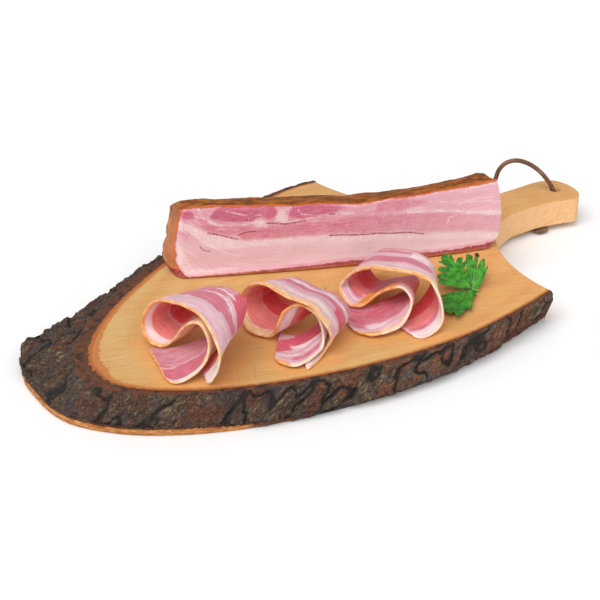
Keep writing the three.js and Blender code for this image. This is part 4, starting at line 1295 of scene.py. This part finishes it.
def slice_finish(name):
    finish = Finish(name, roughness=0.36)
    streak = finish.cloud(finish.on_surface("strip", (16.0, 1.5, 1.0), 4), detail=4, rough=0.6, swirl=0.3)
    thread = finish.cloud(finish.on_surface("strip", (7.0, 0.5, 1.0), -5), detail=3, rough=0.6)
    patch = finish.cloud(finish.on_surface("strip", (5.0, 1.6, 1.0)), detail=3)
    even = finish.on_surface("strip", (1.0, 1.0, 1.0))
    mottle = finish.cloud(even, 5, detail=4, rough=0.6)
    fine = finish.cloud(even, 0.8, detail=2)
    wobble = (streak - 0.5) * 1.1 + (mottle - 0.5) * 0.7
    white, tan, crust = [finish.attribute(name) for name in ("white", "tan", "crust")]
    tone = finish.coats(
        finish.grade(streak, 0.35, 0.68, (214, 168, 182), (234, 198, 202)),
        (thread, 0.56, 0.76, 0.35, (212, 140, 158)),
    )
    # The salmon, red and deep layers carry painted shade and glow where they lie inside loops and under
    # folds.
    for layer, (dark, light, streaks, wavers, full) in MEAT_LAYERS.items():
        meat = finish.coats(finish.grade(thread, 0.35, 0.7, dark, light), (streak, *streaks))
        tone = finish.coats(tone, (finish.attribute(layer) + wobble * wavers, 0.2, full, 1, meat))
    cream = finish.grade(thread, 0.4, 0.66, (238, 212, 212), (252, 240, 236))
    smoky = finish.grade(patch, 0.35, 0.65, (232, 178, 126), (246, 212, 170))
    smoked = finish.grade(patch, 0.36, 0.64, (220, 134, 58), (246, 178, 98))
    rind = finish.coats(
        finish.grade(patch, 0.36, 0.62, (228, 160, 100), (244, 206, 156)), (crust, 0.25, 0.7, 0.8, smoked),
    )
    edge = finish.axis(finish.attribute("strip", "Vector"), "Y") + (mottle - 0.5) * 0.8 + (patch - 0.5) * 0.6
    whitened = finish.ease(white, 0.5, 0.9) * -0.7 + 1.0
    finish.set(Base_Color=finish.coats(
        tone, (white + wobble * 0.8, 0.25, 0.8, 0.9, cream), (tan + (patch - 0.5) * 1.4, 0.3, 0.7, 1, smoky),
        (crust + (patch - 0.5) * 0.8, 0.3, 0.6, 1, smoked), (edge, 2.0, 0.8, 0.5, (244, 214, 190)),
        (edge, 0.9, 0.45, whitened, rind),
    ))
    finish.set(Subsurface_Weight=0.5, Subsurface_Scale=0.003, Subsurface_Radius=(1.0, 0.45, 0.35))
    finish.bump(streak * 0.4 + thread * 0.4 + fine * 0.2, 0.35)
    return finish


def slice_rows():
    """Shares of the width across a slice, from its near edge, closer together at its rounded edges."""
    half = np.r_[0.0, 0.06, 0.2, 0.42, 0.7, 1.05, 1.5, np.linspace(2.2, 0.5 * SLICE_WIDE, 15)]
    return np.r_[half, SLICE_WIDE - half[::-1][1:]] / SLICE_WIDE


def slice_edges(rasher):
    """Marks along a slice, closer together at its ends, and its front and back edge at each of them."""
    place = np.array(placed(*rasher["place"], THICK))
    near, far = [], []
    for x, y, up, heading, width, fall in rasher["stations"]:
        turn = math.radians(heading)
        reach = math.sqrt(width**2 - fall**2)
        near.append(place + (x, y, up))
        far.append(near[-1] + (math.cos(turn) * reach, math.sin(turn) * reach, -fall))
    near, far = through(near, EDGE_POINTS), through(far, EDGE_POINTS)
    run = run_along((near + far) / 2)
    ends = np.array([0, 0.05, 0.2, 0.45, 0.8, 1.3])
    body = np.linspace(2.0, run[-1] - 2.0, int(run[-1] / SLICE_STEP))
    marks = np.r_[ends, body, run[-1] - ends[::-1]]
    return marks, sampled(marks, run, near), sampled(marks, run, far)


def ragged_ends(marks, share, seed):
    """Where each point comes from along the slice, once its ends are cut ragged and their corners round."""
    corner = np.clip(1 - np.minimum(share, (1 - share) * 2) * SLICE_WIDE / CORNER, 0, 1) ** 2
    bite = [1.3 * noise.fractal((w * 5, seed, end), 0.8, 2.0, 3) for end in (3, 5) for w in share]
    first, last = np.abs(np.reshape(bite, (2, -1))) + 2.6 * corner
    held = [bitten[None, :] * np.clip(1 - gap[:, None] / RAGGED, 0, 1)
            for bitten, gap in ((first, marks), (last, marks[-1] - marks))]
    return marks[:, None] + held[0] - held[1]


def slice_sheet(name, marks, near, far, share):
    """The slice's middle surface, with uneven edges and a slight warp, and its normals."""
    width = np.linalg.norm(far - near, axis=1)
    seed = 7.0 * len(name)
    ripple = np.array([noise.fractal((m / FAR_WAVES, seed, 0), 0.8, 2.0, 3) for m in marks])
    nibble = np.array([noise.fractal((m / NEAR_WAVES, seed, 9), 0.8, 2.0, 2) for m in marks])
    low = 0.35 * nibble / width
    high = 1 + 1.1 * ripple / width
    spread = low[:, None] + (high - low)[:, None] * share[None, :]
    drawn = ragged_ends(marks, share, seed)
    front, back = sampled(drawn, marks, near), sampled(drawn, marks, far)
    sheet = front + (back - front) * spread[..., None]
    normal = normals_of(sheet)
    warp = rough_noise(sheet.reshape(-1, 3) + seed, 11, 2).reshape(spread.shape) * 0.5
    return sheet + normal * warp[..., None], normal


def rounded(gap):
    """How thick a slice is that far in from its edge, as a share of its full thickness."""
    return np.sqrt(np.clip(1 - np.clip(1 - gap / ROUND_EDGE, 0, 1) ** 2, 0, 1))


def both_faces(upper, lower):
    """One row of points round a slice: across its upper face and back across its lower one."""
    return np.concatenate([upper, lower[:, ::-1][:, 1:]], axis=1)


def make_rasher(name):
    marks, near, far = slice_edges(RASHERS[name])
    share = slice_rows()
    sheet, normal = slice_sheet(name, marks, near, far, share)
    width = np.linalg.norm(far - near, axis=1)[:, None]
    across = share * width
    along = np.repeat(marks[:, None], len(share), axis=1)
    from_side = np.minimum(across, (1 - share) * width)
    from_end = np.minimum(marks, marks[-1] - marks)[:, None]
    thick = SLICE_THICK / 2 * rounded(from_side) * rounded(from_end) * 0.96
    lift = normal * thick[..., None]
    shape = both_faces(sheet + lift, sheet - lift)
    shape[..., 2] = np.maximum(shape[..., 2], THICK + SLICE_GAP)
    strip = np.stack([along, across, np.zeros_like(along)], axis=-1)
    layers = {key: banded(along, across, RASHERS[name][key], fade) for key, fade in LAYER_FADES.items()}
    piece = draped_grid(
        name + "_slice", shape, strip=both_faces(strip, strip),
        **{key: both_faces(amount, amount) for key, amount in layers.items()},
    )
    face_outwards(piece)
    return finish_piece(piece, name, "bacon", slice_finish(name + "_meat"))


# ---------------- parsley
SPRIG = (96, -64, 21.6)
# How fine a leaflet's rim and its squares are, and how thick it is.
LEAF = {"rim_step": 0.42, "square": 0.8, "thick": 0.32}
# Each leaflet's rim is drawn from its base as angles off its midrib and distances, and its veins run
# to the tips of its lobes.
LEAFLETS = [
    {
        "name": "upper", "heading": 98, "climb": 27, "droop": 0.6,
        "rim": [
            (81, 1.2), (66, 5.5), (61, 9.6), (56, 12.9), (53, 16.4), (51, 18.8), (50, 20.6), (47, 21.2),
            (43, 20.6), (39, 18.5), (41, 21), (39, 21.8), (34, 21.4), (29, 19.9), (23, 16.5), (22, 19.5),
            (24, 21.5), (22, 22.3), (17, 22.2), (12, 20.5), (9, 18.6), (6, 21.5), (9, 24.4), (5, 24.7),
            (2, 23.9), (0, 25.5), (-4, 26.3), (-10, 26.5), (-11, 23.7), (-15, 25.7), (-18, 26.5),
            (-19, 25.5), (-17, 22.4), (-12, 18.9), (-13, 18), (-19, 20.4), (-24, 22.1), (-29, 22.6),
            (-32, 22.6), (-30, 19.3), (-31, 18.7), (-34, 20), (-37, 19.8), (-31, 15.9), (-24, 12.3),
            (-18, 7.5), (-14, 3.3),
        ],
        "veins": [(49, 20), (38, 20.5), (21, 21), (4, 24), (-7, 25), (-17, 25), (-28, 21.5)],
    },
    {
        "name": "right", "heading": 37, "climb": 31, "droop": 0.6,
        "rim": [
            (71, 0.4), (37, 4.6), (34, 9), (30, 11.4), (21, 15.3), (20, 18.5), (18, 21.2), (17, 23),
            (15, 23.5), (13, 22.9), (11, 22.2), (8, 21.3), (8, 18.6), (6, 18), (5, 20.2), (4, 21.2),
            (1, 20.9), (-1, 18.2), (-1, 14.9), (-3, 12.2), (-4, 15), (-5, 17.9), (-7, 19.5),
            (-9, 20.6), (-12, 19.5), (-15, 17.7), (-18, 15.3), (-20, 15.2), (-21, 16.9), (-23, 16.4),
            (-27, 13.2), (-34, 9.5), (-44, 6.3), (-65, 3.9), (-82, 2.6),
        ],
        "veins": [(16, 22), (3, 20), (-9, 19.5), (-21, 15.8)],
    },
    {
        "name": "lower", "heading": 202, "climb": 4, "droop": 1.2,
        "rim": [
            (24, 2.3), (-29, 4.6), (-34, 9.3), (-34, 14.3), (-33, 18.4), (-32, 22), (-25, 22),
            (-16, 27.2), (-10, 30), (-4, 35.5), (-4, 34.2), (-3, 33), (0, 35.6), (2, 34), (2, 32.4),
            (4, 32.3), (7, 35.5), (8, 36.3), (9, 34.5), (12, 31), (13, 26.6), (15, 24.2), (18, 25.7),
            (20, 24.5), (20, 19), (22, 13.6), (30, 8.7), (46, 4.9),
        ],
        "veins": [(-29, 21), (-10, 29), (-3, 34), (7, 34), (17, 24.5)],
    },
]


def leaf_finish():
    finish = Finish("parsley_leaf", roughness=0.6)
    where = finish.place()
    mottle = finish.cloud(where, 3.5, detail=3)
    fine = finish.cloud(where, 0.7, detail=3)
    finish.set(Base_Color=finish.coats(
        finish.grade(mottle, 0.35, 0.68, (24, 104, 8), (62, 156, 20)), (fine, 0.5, 0.8, 0.3, (90, 172, 40)),
        (finish.attribute("reach"), 0.55, 1.0, 0.35, (20, 90, 12)),
        (finish.attribute("vein"), 0.42, 0.08, 0.6, (118, 174, 70)),
    ))
    finish.set(Subsurface_Weight=0.1, Subsurface_Scale=0.001)
    finish.bump(mottle * 0.5 + fine * 0.5, 0.25)
    return finish


def off_midrib(degrees, distance):
    """A point of a leaflet, from its angle off the midrib and its distance from the leaflet's base."""
    turn = math.radians(degrees)
    return distance * math.cos(turn), distance * math.sin(turn)


def make_leaflet(leaflet, finish):
    corners = [off_midrib(*corner) for corner in leaflet["rim"]]
    rim = evenly(through([*corners, corners[0]], 5 * len(corners)), LEAF["rim_step"])
    leaf = flat_shape("parsley_leaf_" + leaflet["name"], rim[:-1])
    cut_into_squares(leaf, LEAF["square"])
    points = points_of(leaf)
    flat = points[:, :2]
    vein = np.min([gap_to_line(flat, [(0, 0), off_midrib(*tip)]) for tip in leaflet["veins"]], axis=0)
    reach = np.linalg.norm(flat, axis=1) / max(r for _, r in leaflet["rim"])
    crease = 0.62 * np.minimum(vein, 1.6) ** 0.8 - 0.12 * np.clip(vein - 1.6, 0, 3)
    curl = rough_noise(points + 11, 7, 2) * 0.7 * reach
    points[:, 2] = crease + curl - leaflet["droop"] * reach**2
    turn, rise = math.radians(leaflet["heading"]), math.radians(leaflet["climb"])
    ahead = np.array([math.cos(turn) * math.cos(rise), math.sin(turn) * math.cos(rise), math.sin(rise)])
    aside = np.array([-math.sin(turn), math.cos(turn), 0.0])
    move_points(leaf, placed(*SPRIG) + points @ np.array([ahead, aside, np.cross(ahead, aside)]))
    write_attribute(leaf, "vein", vein)
    write_attribute(leaf, "reach", reach)
    apply_modifier(leaf, "SOLIDIFY", thickness=LEAF["thick"] * MM, offset=0.0)
    return finish_piece(leaf, "parsley", "parsley", finish)


def make_stalk(finish):
    stalk = added(
        bpy.ops.mesh.primitive_uv_sphere_add, "parsley_stalk", segments=24, ring_count=24, radius=1.0 * MM,
    )
    ball = points_of(stalk)
    ball[:, 0] = ball[:, 0] * 3.2 + 1.2
    ball[:, 1] *= 0.95 - 0.1 * ball[:, 0] / 3.2
    ball[:, 2] = ball[:, 2] * 0.8 - 0.08 * ball[:, 0]
    x, y, up = SPRIG
    move_points(stalk, turned(ball, -62) + placed(x, y, up - 0.2))
    for key in ("vein", "reach"):
        write_attribute(stalk, key, np.zeros(len(ball)))
    return finish_piece(stalk, "parsley", "parsley", finish)


def make_parsley():
    finish = leaf_finish()
    for leaflet in LEAFLETS:
        make_leaflet(leaflet, finish)
    make_stalk(finish)


# ---------------- crumbs
PEPPERCORN = (127.3, -36.9, 1.25)
CRUMBS = [
    (92, -35, 1.3), (98, -38, 1.0), (101, -41, 1.5), (105, -40, 0.9), (110, -43, 1.2), (86, -31, 1.1),
    (114, -44, 0.8), (36, -8, 0.9),
]


def speckled(name, size, dark, light):
    finish = Finish(name, roughness=0.6)
    fleck = finish.cloud(finish.place(), size, detail=3)
    finish.set(Base_Color=finish.mix(fleck, dark, light))
    finish.bump(fleck, 0.3)
    return finish


def make_crumb(name, at, size, squash, finish):
    """A lumpy ball, squashed, that lies on the board."""
    crumb = added(bpy.ops.mesh.primitive_ico_sphere_add, name, subdivisions=4, radius=1.0 * MM)
    ball = points_of(crumb)
    ball *= (1 + 0.22 * rough_noise(ball + at[0], 0.7, 3))[:, None] * size
    ball[:, 2] *= squash
    ball[:, 2] -= ball[:, 2].min()
    move_points(crumb, ball + placed(*at, THICK + 0.02))
    return finish_piece(crumb, None, "bacon", finish)


def make_crumbs():
    pepper = speckled("peppercorn_skin", 0.5, (40, 20, 16), (92, 46, 34))
    make_crumb("peppercorn", PEPPERCORN[:2], PEPPERCORN[2], 0.95, pepper)
    crisp = speckled("rind_crumb", 0.6, (150, 66, 44), (206, 118, 78))
    for k, (x, y, size) in enumerate(CRUMBS, start=1):
        make_crumb("rind_crumb_" + str(k), (x, y), size * 0.55, 0.6, crisp)


# ---------------- studio
DAYLIGHT = 0.49
# Each lamp: the azimuth and elevation that it shines from, how wide it looks and how strong it is.
LAMPS = {"key": (-78, 54, 48, 1.95), "fill": (-20, 38, 40, 0.75)}
# In metres: how wide the floor is, and how far it lies under what stands on it.
FLOOR = {"wide": 12.0, "under": 0.0002}


def make_lamp(name, azimuth, elevation, wide, strength):
    data = bpy.data.lights.new(name, "SUN")
    data.angle = math.radians(wide)
    data.energy = strength
    lamp = bpy.data.objects.new(name, data)
    lamp.location = seen_from(azimuth, elevation)
    lamp.rotation_mode = "QUATERNION"
    lamp.rotation_quaternion = lamp.location.to_track_quat("Z", "Y")
    bpy.context.collection.objects.link(lamp)


def make_studio():
    world = bpy.data.worlds.new("studio")
    world.use_nodes = True
    sky = world.node_tree.nodes["Background"].inputs
    sky["Color"].default_value = (1.0, 1.0, 1.0, 1.0)
    sky["Strength"].default_value = DAYLIGHT
    bpy.context.scene.world = world
    bpy.context.scene.view_settings.view_transform = "Standard"
    for name, settings in LAMPS.items():
        make_lamp(name, *settings)
    floor = added(
        bpy.ops.mesh.primitive_plane_add, "studio_floor", size=FLOOR["wide"],
        location=(0.0, 0.0, -FLOOR["under"]),
    )
    paper = Finish("pale_floor", roughness=0.9)
    paper.set(Base_Color=(0.92, 0.92, 0.92, 1.0))
    floor.data.materials.append(paper.material)


make_camera()
make_thong()
make_studio()
make_board_wood()
make_bark()
make_chunk()
for rasher_name in RASHERS:
    make_rasher(rasher_name)
make_parsley()
make_crumbs()
